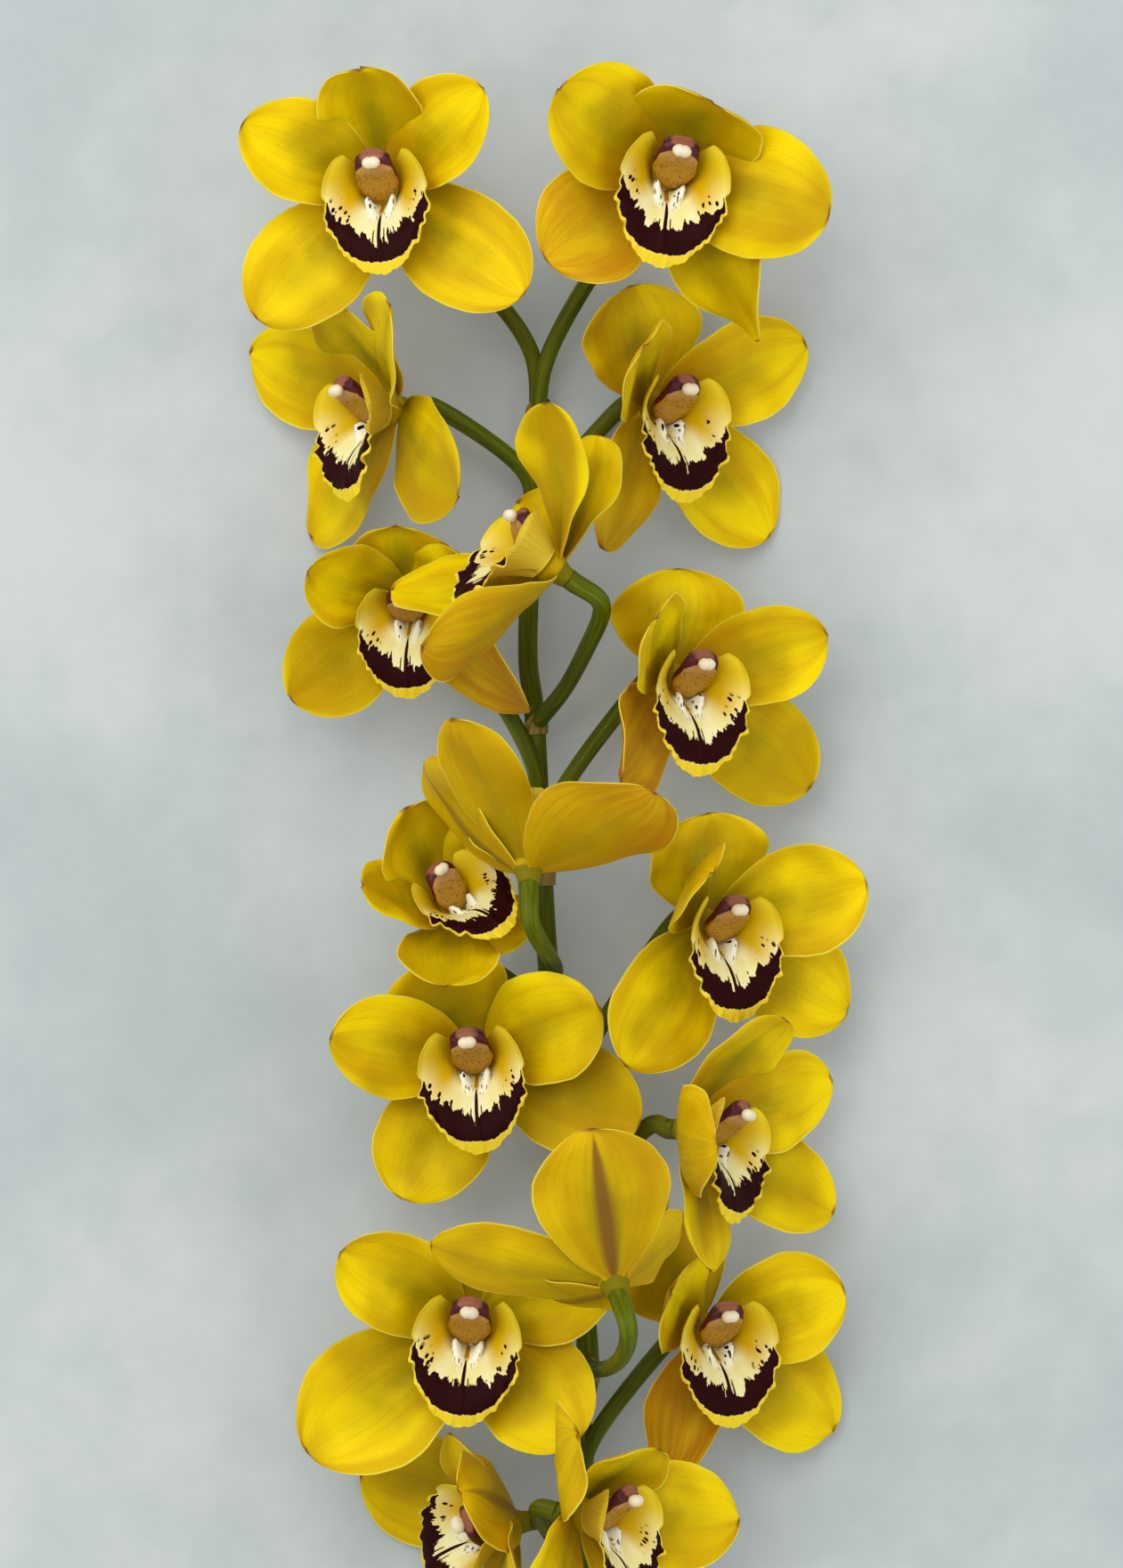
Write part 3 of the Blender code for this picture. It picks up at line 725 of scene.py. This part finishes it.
def add_tube(skin, route, radii, sides, shape, kind, hue):
    """A tube with closed ends, of which the main stem's lower one is a cut.

    shape(share, angle) swells each ring.
    """
    route = np.array([tuple(point) for point in route])
    heading = np.gradient(route, axis=0)
    heading /= np.linalg.norm(heading, axis=1, keepdims=True)
    turn = np.linspace(0, 2 * math.pi, sides, endpoint=False)
    side = np.cross(heading[0], (0.0, 0.0, 1.0))
    if np.linalg.norm(side) < 0.1:
        side = np.array((1.0, 0.0, 0.0))
    rings = []
    for share, radius, spot, way in zip(np.linspace(0, 1, len(route)), radii, route, heading):
        side = side - way * np.dot(side, way)
        side /= np.linalg.norm(side)
        size = radius * shape(share, turn)[:, None]
        around = np.cos(turn)[:, None] * side + np.sin(turn)[:, None] * np.cross(side, way)
        rings.append(spot + size * around)
    points = np.array(rings)
    steps = np.linalg.norm(np.diff(points.mean(axis=1), axis=0), axis=1)
    run = np.concatenate([[0], np.cumsum(steps)])[:, None] + 0 * turn
    radii = np.array(radii)[:, None]
    ring_x, ring_y = radii * np.cos(turn), radii * np.sin(turn)
    for end, shrink in ((0, CAP_RINGS[::-1]), (-1, CAP_RINGS)):
        shrink = np.array(shrink)[:, None]
        middle = points[end].mean(axis=0)
        skin.grid(
            middle + (points[end] - middle) * shrink[..., None], closed=True, run=run[end, 0],
            ring_x=ring_x[end] * shrink, ring_y=ring_y[end] * shrink,
            kind=CUT if kind == STALK and end == 0 else kind, hue=hue, face=1.0,
        )
    skin.grid(points, closed=True, run=run, ring_x=ring_x, ring_y=ring_y, kind=kind, hue=hue, face=1.0)


def add_bract(skin, height, look_ahead, outward, length, radius, hue):
    """A papery scale that clasps the stem at a height: outward is its middle's direction."""
    spot = np.array(stem_at(height))
    heading = np.array(stem_at(height + look_ahead)) - spot
    rows, columns = BRACT_GRID
    u, v = np.meshgrid(np.linspace(0, 1, rows), np.linspace(-1, 1, columns), indexing="ij")
    angle = v * BRACT_WRAP * (1 - u ** 1.5)
    away = radius * (1.04 + 0.5 * u ** 2) + GAP
    heading = heading / np.linalg.norm(heading)
    outward = outward - heading * np.dot(outward, heading)
    outward /= np.linalg.norm(outward)
    side = np.cross(heading, outward)
    points = (
        spot + (u * length)[..., None] * heading
        + (np.cos(angle) * away)[..., None] * outward + (np.sin(angle) * away)[..., None] * side
    )
    skin.shell(
        points, BRACT_THICKNESS + 0 * u,
        run=u * length, ring_x=v * BRACT_WIDTH, ring_y=0.0, kind=BRACT, hue=hue,
    )


def ribbed(share, turn):
    """The main stem's shallow ribs."""
    return 1 + 0.015 * np.cos(7 * turn + 5 * share)


def grooved(share, turn):
    """A pedicel's three grooves, which deepen towards its ovary."""
    return 1 + 0.05 * ramp(share, 0.3, 0.7) * np.cos(3 * (turn + 1.2 * share))


def make_stem(finish, looks):
    skin = Skin()
    route = smooth_path([Vector(point) for point in STEM_ROUTE], STEM_STEPS)
    draw = random.Random(7)
    joints = [flower.root for flower in BLOOMS] + list(looks.joints)
    radii = []
    for i, point in enumerate(route):
        swell = sum(math.exp(-((point.y - joint) / 4) ** 2) for joint in joints)
        taper = STEM_FOOT - STEM_TAPER * i / STEM_STEPS
        radii.append(STEM_RADIUS * taper * (1 + NODE_SWELL * min(swell, 1)))
    add_tube(skin, route, radii, STEM_SIDES, ribbed, STALK, 0.5)
    for flower in BLOOMS:
        path = pedicel_route(flower)
        share = np.linspace(0, 1, len(path))
        widths = PEDICEL_RADIUS + (OVARY_RADIUS - PEDICEL_RADIUS) * share ** 2
        widths *= 1 + PEDICEL_FLARE * np.exp(-share / 0.08)
        add_tube(skin, path, widths, PEDICEL_SIDES, grooved, PEDICEL, draw.random())
        outward = np.array(path[6] - path[0])
        low = flower.root - BRACT_BELOW
        add_bract(skin, low, 7, outward, BRACT_LENGTH, STEM_RADIUS * 0.95, draw.random())
    for joint in looks.joints:
        outward = np.array((draw.uniform(-1, 1), 0, 1.0))
        add_bract(skin, joint, 6, outward, SHEATH_LENGTH, STEM_RADIUS * 1.05, draw.random())
    skin.piece("green_spike", finish, "stem", "stem")


# Materials

class Value:
    """A socket of a material's nodes, on which Python's arithmetic adds Math nodes."""

    def __init__(self, look, socket):
        self.look = look
        self.socket = socket

    def math(self, operation, *others):
        return self.look.node("ShaderNodeMath", {"operation": operation}, self, *others)

    def __add__(self, other):
        return self.math("ADD", other)

    def __sub__(self, other):
        return self.math("SUBTRACT", other)

    def __rsub__(self, other):
        return self.look.node("ShaderNodeMath", {"operation": "SUBTRACT"}, other, self)

    def __mul__(self, other):
        return self.math("MULTIPLY", other)

    def __truediv__(self, other):
        return self.math("DIVIDE", other)

    def __pow__(self, other):
        return self.math("POWER", other)

    def __abs__(self):
        return self.math("ABSOLUTE")

    __radd__ = __add__
    __rmul__ = __mul__

    def ramp(self, low, high):
        """0 below low and 1 above high, smoothly between."""
        return self.look.node(
            "ShaderNodeMapRange", {"interpolation_type": "SMOOTHSTEP"}, self, low, high, 0.0, 1.0
        )

    def hump(self, middle, width):
        """1 at the middle, falling to 0 a width away on both sides."""
        return 1 - abs(self - middle).ramp(0.0, width)


def most(first, *others):
    """The greatest of several values."""
    for other in others:
        first = first.math("MAXIMUM", other)
    return first


class Look:
    """A material being made: its shader, and one method for every other node."""

    def __init__(self, name, looks, **constants):
        self.looks = looks
        self.material = bpy.data.materials.new(name)
        self.material.use_nodes = True
        self.tree = self.material.node_tree
        self.shader = self.tree.nodes["Principled BSDF"]
        for socket, value in constants.items():
            self.put(self.shader.inputs[socket.replace("_", " ")], value)

    def node(self, kind, settings, *values, out=0, **named):
        """Adds a node: its settings first, then the values or links of its sockets."""
        made = self.tree.nodes.new(kind)
        for setting, value in settings.items():
            setattr(made, setting, value)
        for socket, value in [*enumerate(values), *named.items()]:
            key = socket if isinstance(socket, int) else socket.replace("_", " ")
            self.put(made.inputs[key], value)
        return Value(self, made.outputs[out])

    def put(self, socket, value):
        """Links a value, or sets a number or a colour, which its property's name stands for."""
        if isinstance(value, Value):
            self.tree.links.new(value.socket, socket)
        elif isinstance(value, str):
            socket.default_value = (*getattr(self.looks, value), 1.0)
        else:
            socket.default_value = value

    def marks(self, *names):
        """Numbers that the mesh carries on its points."""
        return [self.node("ShaderNodeAttribute", {"attribute_name": name}, out="Fac") for name in names]

    def spot(self, x, y, z):
        return self.node("ShaderNodeCombineXYZ", {}, x, y, z)

    def noise(self, place, scale, detail=2.0, rough=0.5):
        return self.node(
            "ShaderNodeTexNoise", {"noise_dimensions": "3D"},
            Vector=place, Scale=scale, Detail=detail, Roughness=rough,
        )

    def dots(self, place, scale, size, lots):
        """Scattered dots with soft edges; the range of lots says which of them are left out."""
        near = self.node("ShaderNodeTexVoronoi", {"feature": "F1"}, Vector=place, Scale=scale)
        drawn = Value(self, near.socket.node.outputs["Color"])
        lot = self.node("ShaderNodeSeparateColor", {}, drawn)
        return (1 - near.ramp(*size)) * lot.ramp(*lots)

    def mix(self, share, one, other):
        """A colour between two."""
        mixed = self.node("ShaderNodeMix", {"data_type": "RGBA"}, share, out=2)
        for socket, colour in ((6, one), (7, other)):
            self.put(mixed.socket.node.inputs[socket], colour)
        return mixed

    def coats(self, colour, *coats):
        """Lays coats over a first colour, each by its share."""
        for share, coat in coats:
            colour = self.mix(share, colour, coat)
        return colour

    def bump(self, height, strength, distance):
        return self.node(
            "ShaderNodeBump", {}, Strength=strength, Distance=distance, Height=height, out="Normal"
        )

    def finish(self, colour, roughness, normal=None):
        self.put(self.shader.inputs["Base Color"], colour)
        self.put(self.shader.inputs["Roughness"], roughness)
        if normal:
            self.put(self.shader.inputs["Normal"], normal)
        return self.material


def petal_finish(looks):
    look = Look(
        "petal_yellow", looks, Subsurface_Weight=looks.glow, Subsurface_Radius=(1.0, 0.55, 0.05),
        Subsurface_Scale=0.0016, Specular_IOR_Level=0.07,
    )
    u, v, face, draw, rib, blush = look.marks("reach", "across", "face", "draw", "rib", "blush")
    off = abs(v)
    place = look.spot(u * 52, v * 17, draw * 400)
    cloud = look.noise(place, 0.032, 2.0, 0.45)
    fade = look.noise(place, 0.12).ramp(0.35, 0.65)
    drift = look.noise(look.spot(u * 6, v * 17, draw * 90), 0.35)
    bands = look.noise(look.spot(u * 9, v * 17, draw * 150 + 30), 0.1)
    stain = look.noise(look.spot(u * 9, v * 21, draw * 200), 0.3, 3.0).ramp(0.3, 0.7)
    # Veins, broad and fine
    veins = 1 - abs((v * 21 + drift * 2.4).math("SINE")).ramp(0.0, 0.55)
    veins = veins * (1 - off.ramp(0.7, 1.0)) * u.ramp(0.02, 0.2) * (0.25 + 0.75 * fade)
    fine = 1 - abs((v * 57 + drift * 3).math("SINE")).ramp(0.0, 0.7)
    # The deeper colour near the root and along the middle, the tepals' own olive darkened further as
    # painted shade where they crowd together, and the midrib on the front
    olive_and_shade = (1 - u.ramp(0.0, 0.6)) * (0.55 + 0.45 * bands.ramp(0.3, 0.6))
    middle = (1 - off.ramp(0.15, 0.95)) * (1 - u.ramp(0.35, 0.95)) * (0.35 + 0.65 * fade)
    streak = (v + (drift - 0.5) * 0.15).hump(0.0, 0.42) * u.ramp(0.0, 0.12) * (1 - u.ramp(0.4, 1.0))
    # The flush, which above 1 shows through to the front, and the midrib on the back
    back = 1 - face.ramp(0.2, 0.5)
    through = blush - 1.0
    worn = most((u + off * 0.3).ramp(0.3, 1.0), through)
    flush = most(back, through) * blush.math("MINIMUM", 1.0)
    flush = flush * (0.5 + 0.5 * stain) * (0.15 + 0.85 * worn)
    ridge = 1 - (abs(v + (drift - 0.5) * 0.1) / (0.05 + 0.32 * (1 - u))).ramp(0.2, 1.0)
    ridge = ridge * u.ramp(0.0, 0.05) * (1 - u.ramp(0.9, 1.0)) * back
    colour = look.coats(
        "petal_bright",
        (cloud.ramp(0.36, 0.66) * 0.95, "petal_deep"),
        (bands.ramp(0.42, 0.7) * 0.5, "petal_gold"),
        # The root's own olive with painted shade, and painted shade along the middle
        (olive_and_shade, look.mix(draw.ramp(0.3, 0.7), "petal_olive_and_shade", "petal_gold")),
        (veins * 0.1 + fine * 0.035, "petal_vein"),
        (middle * 0.45, "petal_olive_and_shade"),
        (streak * rib, "rib_green"),
        (back * (0.3 + 0.2 * veins), "petal_deep"),
        (flush, "back_blush"),
        (ridge * rib * rib, "rib_brown"),
        (off.ramp(0.955, 0.995) * (0.3 + 0.6 * bands.ramp(0.4, 0.6)), "petal_rim"),
        (u.ramp(0.985, 1.0) * 0.8, "rib_brown"),
        (1 - u.ramp(-0.15, 0.0), "base_green"),
    )
    height = cloud * 0.5 - veins * 0.3 - fine * 0.12
    return look.finish(colour, 0.46 + 0.12 * cloud, look.bump(height, 0.35, 0.0006))


def lip_finish(looks):
    look = Look(
        "lip_cream", looks, Subsurface_Weight=looks.glow * 0.6, Subsurface_Radius=(1.0, 0.7, 0.3),
        Subsurface_Scale=0.0012, Specular_IOR_Level=0.08,
    )
    s, t, face, draw = look.marks("side", "reach", "face", "draw")
    away = abs(s)
    place = look.spot(s * 46, t * 26, draw * 300)
    cloud = look.noise(place, 0.12)
    # The throat, the side lobes, whose inner faces near the column are their own gold deepened as painted
    # shade, and the keels
    lobes = away.ramp(0.62, 0.86) * (0.9 + 0.1 * cloud)
    gold_and_shade = (1 - t.ramp(0.35, 1.0)) * away.ramp(0.34, 0.6)
    deep = (1 - t.ramp(0.0, 0.3)) * away.ramp(0.2, 0.36)
    crest = away - KEEL_AT - KEEL_SPLAY * (1 - t.ramp(*KEEL_PARTING))
    keel = (1 - abs(crest).ramp(0.07, 0.11)) * t.ramp(0.03, 0.07) * (1 - t.ramp(0.15, 0.4))
    between_keels = (1 - away.ramp(0.04, 0.07)) * (1 - t.ramp(0.16, 0.24))
    # The dark band, whose inner edge runs out in teeth
    teeth = look.noise(look.spot(s * 46, t * 13, draw * 300), 0.22, 3.0, 0.66) - 0.5
    coarse = look.noise(look.spot(s * 46, t * 2, draw * 80 + 40), 0.14, 1.0) - 0.5
    inner = BAND_START + BAND_BEND * (away / BAND_SPREAD) ** 3.2 + coarse * 0.14
    inner = inner + teeth * TEETH * (1 - away.ramp(0.5, 0.7))
    outer = BAND_END + 0.09 * away.ramp(0.0, 0.42) + (look.noise(place, 0.6) - 0.5) * 0.06
    band = (t - inner).ramp(-0.006, 0.006) * (outer - t).ramp(-0.006, 0.006)
    band = band * (1 - away.ramp(BAND_SPREAD, BAND_SPREAD + 0.01))
    # The middle stripe and its shorter neighbours
    wander = (look.noise(look.spot(t * 14, draw * 60, 3.0), 0.5) - 0.5) * 0.012
    stripes = []
    for aside, sharp, soft, start, full, end in STRIPES:
        stripe = 1 - abs(s + wander - aside).ramp(sharp, soft)
        stripes.append(stripe * t.ramp(start, full) * (1 - t.ramp(end - 0.05, end)))
    # Dots near the band's corners and on the keels
    dots = look.dots(look.spot(s * 46, t * 15, draw * 500), 0.46, (0.31, 0.38), (0.12, 0.16))
    corner = away.ramp(0.42, 0.46) * (1 - away.ramp(0.68, 0.72))
    corner = corner * t.ramp(0.48, 0.52) * (1 - t.ramp(0.84, 0.88))
    small = look.dots(look.spot(s * 40 + 9, t * 22, draw * 500), 0.62, (0.32, 0.4), (0.2, 0.26))
    ink = most(band, *stripes, dots * corner, small * keel * (1 - t.ramp(0.3, 0.4)))
    rim = (t - outer).ramp(-0.004, 0.012) * (1 - away.ramp(0.68, 0.72))
    rim = most(rim, t.ramp(0.93, 0.99) * away.ramp(0.66, 0.72) * 0.7)
    veins = 1 - abs((s * 70 + cloud * 2).math("SINE")).ramp(0.0, 0.5)
    colour = look.coats(
        "lip_cream",
        (cloud.ramp(0.35, 0.7) * 0.5, "lip_pale"),
        (lobes, "lip_yellow"),
        (gold_and_shade, "lip_gold_and_shade"),
        # The lobes' own gold with painted shade near the column
        (deep * 0.8, "lip_throat"),
        (keel, "lip_white"),
        (between_keels, "lip_throat"),
        (rim * 0.95, "lip_rim"),
        (ink, "lip_maroon"),
        (1 - face.ramp(0.35, 0.6), look.mix(veins * 0.25 + cloud * 0.2, "lip_outside", "lip_vein")),
    )
    height = cloud * 0.6 + look.noise(place, 0.9) * 0.25 - veins * 0.1
    return look.finish(colour, 0.42 + 0.14 * cloud + 0.1 * ink, look.bump(height, 0.4, 0.0006))


def column_finish(looks):
    look = Look(
        "column_tan", looks, Subsurface_Weight=looks.glow * 0.5, Subsurface_Radius=(1.0, 0.6, 0.3),
        Subsurface_Scale=0.0012, Specular_IOR_Level=0.3,
    )
    u, under, x, y, cap, draw = look.marks("reach", "under", "aside", "height", "cap", "draw")
    place = look.spot(x, y * 1.4, draw * 200 + under)
    cloud = look.noise(place, 0.25, 3.0)
    specks = look.dots(place, 0.75, (0.16, 0.32), (0.3, 0.5))
    fine = look.noise(place, 1.5).ramp(0.52, 0.66)
    speckled = (specks + fine * 0.5).math("MINIMUM", 1.0) * 0.9 * (1 - y.ramp(2.0, 4.0))
    face = look.coats("column_ochre", (y.ramp(1.0, 4.4), "column_pink"), (speckled, "column_speck"))
    # The hood's dark edge and arch, its paler top, and the pollen cap's dimple
    edge = under.hump(0.08, 0.42).ramp(0.3, 0.6) * y.ramp(0.0, 2.0)
    arch = (y - 5.6 + 0.05 * x * x + 0.8 * cloud).ramp(0.0, 0.4) * u.ramp(0.5, 0.6)
    top = (x * x) * 0.045 + (y - 8.8) * (y - 8.8) * 0.1 + (cloud - 0.5) * 1.2 + draw * 0.3
    dimple = (x * x + (y - 5.3) * (y - 5.3) * 2.0).ramp(0.1, 1.0)
    colour = look.coats(
        "column_back",
        (u.ramp(0.1, 0.45), "column_edge"),
        (under.ramp(0.05, 0.2), face),
        (most(edge, arch), "column_edge"),
        ((1 - top.ramp(0.5, 1.1)) * u.ramp(0.6, 0.7), "column_hood"),
        (cap.ramp(0.4, 0.6), look.mix(dimple, "column_pink", "cap_cream")),
    )
    return look.finish(colour, 0.34 + 0.15 * cloud, look.bump(cloud * 0.5 + specks * 0.2, 0.3, 0.0004))


def stem_finish(looks):
    look = Look(
        "spike_green", looks, Specular_IOR_Level=0.15, Subsurface_Weight=0.08, Subsurface_Scale=0.001
    )
    run, x, y, kind, hue = look.marks("run", "ring_x", "ring_y", "kind", "hue")
    grain = look.noise(look.spot(x, y, run * 0.06 + hue * 40), 0.9, 4.0, 0.6)
    cloud = look.noise(look.spot(x, y, run * 0.25 + hue * 70), 0.12, 3.0)
    pores = look.dots(look.spot(x, y, run), 0.55, (0.08, 0.16), (0.6, 0.7))
    papery = kind.ramp(0.7, 0.9)
    colour = look.coats(
        "stem_dark",
        (0.25 + 0.5 * grain.ramp(0.35, 0.65), "stem_green"),
        (cloud.ramp(0.5, 0.75) * 0.4, "stem_olive"),
        (kind.hump(PEDICEL, 0.2) * 0.45 * hue.ramp(0.2, 0.9), "stem_olive"),
        (pores * 0.35, "bract_tan"),
        (kind.hump(CUT, 0.2), "cut_pale"),
        (papery, look.mix(grain.ramp(0.3, 0.7), "bract_tan", "bract_brown")),
    )
    rough = 0.42 + 0.2 * grain + 0.15 * papery
    return look.finish(colour, rough, look.bump(grain * 0.6 + cloud * 0.3, 0.35, 0.0005))


def floor_finish(looks):
    look = Look(
        "pale_floor", looks, Specular_IOR_Level=0.1,
        Emission_Color="floor_light", Emission_Strength=looks.floor_glow,
    )
    place = look.node("ShaderNodeTexCoord", {}, out="Object")
    cloud = look.noise(place, 6.0, 5.0, 0.62)
    grit = look.noise(place, 60.0, 4.0, 0.6)
    blotch = cloud.ramp(0.35, 0.65) * 0.7 + (grit - 0.5) * 0.3
    return look.finish(look.mix(blotch, "floor_light", "floor_dark"), 0.8 + 0.1 * grit)


# Sizes and colours that a user would change

def colour_of(name, description, red, green, blue):
    """A colour property; its default is given as 0 to 255 and stored as scene light."""
    light = []
    for channel in (red, green, blue):
        share = channel / 255
        light.append(share / 12.92 if share <= 0.04045 else ((share + 0.055) / 1.055) ** 2.4)
    return bpy.props.FloatVectorProperty(
        name=name, description=description, subtype="COLOR", size=3, min=0, max=1, default=light
    )


def glow_of(part):
    return bpy.props.FloatProperty(
        name="Glow", description=f"How much light passes into the {part}", default=0.3, subtype="FACTOR"
    )


class PetalSettings(bpy.types.PropertyGroup):
    tepal_thickness: bpy.props.FloatProperty(
        name="Thickness", description="Of a petal at its middle", default=0.001, unit="LENGTH"
    )
    glow: glow_of("petals")
    petal_bright: colour_of("Bright", "The petals' main yellow", 248, 216, 0)
    petal_deep: colour_of("Deep", "The yellow of the petals' deeper patches", 194, 160, 0)
    petal_gold: colour_of("Gold", "Warmer patches", 190, 138, 0)
    # The petals' own olive near their root, darkened as painted shade
    petal_olive_and_shade: colour_of("Heart", "The petals near their root", 152, 130, 0)
    petal_vein: colour_of("Vein", "The fine veins", 150, 118, 0)
    petal_rim: colour_of("Rim", "The thin edge", 246, 226, 80)
    rib_green: colour_of("Green rib", "The midrib on the front", 140, 128, 4)
    rib_brown: colour_of("Brown rib", "The midrib on the back", 126, 76, 34)
    back_blush: colour_of("Blush", "The orange-brown flush on the back", 184, 104, 18)
    base_green: colour_of("Base", "The flower's base", 126, 116, 8)


class LipSettings(bpy.types.PropertyGroup):
    ruffle_depth: bpy.props.FloatProperty(
        name="Ruffle", description="Half the height of the edge's waves", default=0.0005, unit="LENGTH"
    )
    glow: glow_of("lip")
    lip_cream: colour_of("Cream", "The lip's ground", 240, 228, 150)
    lip_pale: colour_of("Pale", "The lip's light patches", 250, 243, 206)
    lip_white: colour_of("Keels", "The lip's two keels", 250, 246, 224)
    lip_yellow: colour_of("Side lobes", "The side lobes", 236, 206, 10)
    # The lobes' own gold, laid near the column as painted shade too
    lip_gold_and_shade: colour_of("Gold", "The lobes' inner faces", 222, 180, 4)
    lip_throat: colour_of("Throat", "Deep in the lip", 176, 122, 10)
    lip_rim: colour_of("Rim", "The ruffled edge", 240, 206, 10)
    lip_maroon: colour_of("Maroon", "The band, stripes and dots", 40, 0, 0)
    lip_outside: colour_of("Outside", "The lip's outer face", 236, 208, 60)
    lip_vein: colour_of("Vein", "The outer face's veins", 190, 140, 20)


class ColumnSettings(bpy.types.PropertyGroup):
    glow: glow_of("column")
    column_ochre: colour_of("Ochre", "The column's speckled face", 174, 126, 24)
    column_pink: colour_of("Pink tan", "Its face below the cap", 190, 140, 78)
    column_speck: colour_of("Speck", "The fine dots", 104, 50, 18)
    column_back: colour_of("Back", "The column's back near its foot", 196, 160, 20)
    column_hood: colour_of("Hood", "The top of the hood", 152, 88, 62)
    column_edge: colour_of("Edge", "The hood's dark edges", 78, 14, 26)
    cap_cream: colour_of("Cap", "The pollen cap", 240, 228, 196)


class StemSettings(bpy.types.PropertyGroup):
    joints: bpy.props.FloatVectorProperty(
        name="Joints", description="Where the lower stem's sheaths sit along it, in millimetres",
        size=3, default=(-500, -430, -358),
    )
    stem_green: colour_of("Green", "The stem's lighter streaks", 112, 122, 0)
    stem_dark: colour_of("Dark green", "The stem's darker streaks", 56, 68, 0)
    stem_olive: colour_of("Olive", "Warmer patches", 100, 86, 12)
    bract_tan: colour_of("Bract", "The papery scales", 170, 152, 84)
    bract_brown: colour_of("Bract brown", "The scales' streaks", 122, 96, 44)
    cut_pale: colour_of("Cut", "The cut end", 198, 204, 130)


class StageSettings(bpy.types.PropertyGroup):
    floor_glow: bpy.props.FloatProperty(
        name="Floor glow", description="Lifts the shadows on the floor", default=0.16, min=0, max=1,
    )
    floor_light: colour_of("Floor", "The floor's light tone", 188, 193, 191)
    floor_dark: colour_of("Floor shade", "The floor's darker tone", 156, 166, 165)
    key_power: bpy.props.FloatProperty(
        name="Key", description="The main light's strength", default=32, unit="POWER"
    )
    fill_power: bpy.props.FloatProperty(
        name="Fill", description="The fill light's strength", default=9, unit="POWER"
    )
    sky: bpy.props.FloatProperty(name="Sky", description="Light from all round", default=0.66, min=0)


# One operator for each group of pieces

def dress_blooms(make, *rest):
    """Makes one piece of every flower."""
    for number, flower in enumerate(BLOOMS, 1):
        make(f"bloom_{number:02d}", flower, number, *rest)


class ORCHID_OT_petals(bpy.types.Operator):
    """Makes the petals and sepals of every flower"""

    bl_idname = "orchid.petals"
    bl_label = "Petals and sepals"

    def execute(self, context):
        looks = context.scene.orchid_petals
        dress_blooms(make_tepals, petal_finish(looks), looks)
        return {"FINISHED"}


class ORCHID_OT_lips(bpy.types.Operator):
    """Makes the lip of every flower"""

    bl_idname = "orchid.lips"
    bl_label = "Lips"

    def execute(self, context):
        looks = context.scene.orchid_lips
        dress_blooms(make_lip, lip_finish(looks), looks)
        return {"FINISHED"}


class ORCHID_OT_columns(bpy.types.Operator):
    """Makes the column of every flower"""

    bl_idname = "orchid.columns"
    bl_label = "Columns"

    def execute(self, context):
        dress_blooms(make_column, column_finish(context.scene.orchid_columns))
        return {"FINISHED"}


class ORCHID_OT_stem(bpy.types.Operator):
    """Makes the stem, the pedicels and the scales"""

    bl_idname = "orchid.stem"
    bl_label = "Stem"

    def execute(self, context):
        looks = context.scene.orchid_stem
        make_stem(stem_finish(looks), looks)
        return {"FINISHED"}


class ORCHID_OT_stage(bpy.types.Operator):
    """Makes the floor, the lights and the camera"""

    bl_idname = "orchid.stage"
    bl_label = "Stage"

    def execute(self, context):
        scene = context.scene
        looks = scene.orchid_stage
        mesh = bpy.data.meshes.new("floor")
        corners = [(x * FLOOR_HALF, y * FLOOR_HALF, 0) for x, y in ((-1, -1), (1, -1), (1, 1), (-1, 1))]
        mesh.from_pydata(corners, [], [(0, 1, 2, 3)])
        mesh.materials.append(floor_finish(looks))
        floor = bpy.data.objects.new("floor", mesh)
        scene.collection.objects.link(floor)
        centre = Vector((-MIDDLE_X * MM, -MIDDLE_Y * MM, 0.05))
        for (name, place, size), power in zip(LIGHTS, (looks.key_power, looks.fill_power)):
            data = bpy.data.lights.new(name, "AREA")
            data.size = size
            data.energy = power
            light = bpy.data.objects.new(name, data)
            light.location = centre + Vector(place)
            light.rotation_euler = (-Vector(place)).to_track_quat("-Z", "Y").to_euler()
            scene.collection.objects.link(light)
        world = bpy.data.worlds.new("studio")
        world.use_nodes = True
        sky = world.node_tree.nodes["Background"]
        sky.inputs["Color"].default_value = SKY_COLOUR
        sky.inputs["Strength"].default_value = looks.sky
        scene.world = world
        data = bpy.data.cameras.new("camera")
        data.sensor_fit = "VERTICAL"
        data.sensor_height = SENSOR
        data.lens = SENSOR * CAMERA_DISTANCE / VIEW_HEIGHT
        camera = bpy.data.objects.new("camera", data)
        camera.location = (centre.x, centre.y, CAMERA_HEIGHT)
        scene.collection.objects.link(camera)
        scene.camera = camera
        scene.view_settings.view_transform = "Standard"
        return {"FINISHED"}


class ORCHID_PT_panel(bpy.types.Panel):
    """Lists the orchid's pieces"""

    bl_idname = "ORCHID_PT_panel"
    bl_label = "Cymbidium stem"
    bl_space_type = "VIEW_3D"
    bl_region_type = "UI"
    bl_category = "Orchid"

    def draw(self, context):
        for operator in OPERATORS:
            self.layout.operator(operator.bl_idname)


SETTINGS = {
    "orchid_petals": PetalSettings,
    "orchid_lips": LipSettings,
    "orchid_columns": ColumnSettings,
    "orchid_stem": StemSettings,
    "orchid_stage": StageSettings,
}
OPERATORS = (ORCHID_OT_petals, ORCHID_OT_lips, ORCHID_OT_columns, ORCHID_OT_stem, ORCHID_OT_stage)


def register():
    for kind in (*SETTINGS.values(), *OPERATORS, ORCHID_PT_panel):
        bpy.utils.register_class(kind)
    for name, kind in SETTINGS.items():
        setattr(bpy.types.Scene, name, bpy.props.PointerProperty(type=kind))


def unregister():
    for name in SETTINGS:
        delattr(bpy.types.Scene, name)
    for kind in (ORCHID_PT_panel, *OPERATORS, *SETTINGS.values()):
        bpy.utils.unregister_class(kind)


def main():
    register()
    bpy.ops.orchid.petals()
    bpy.ops.orchid.lips()
    bpy.ops.orchid.columns()
    bpy.ops.orchid.stem()
    bpy.ops.orchid.stage()


if __name__ == "__main__":
    main()
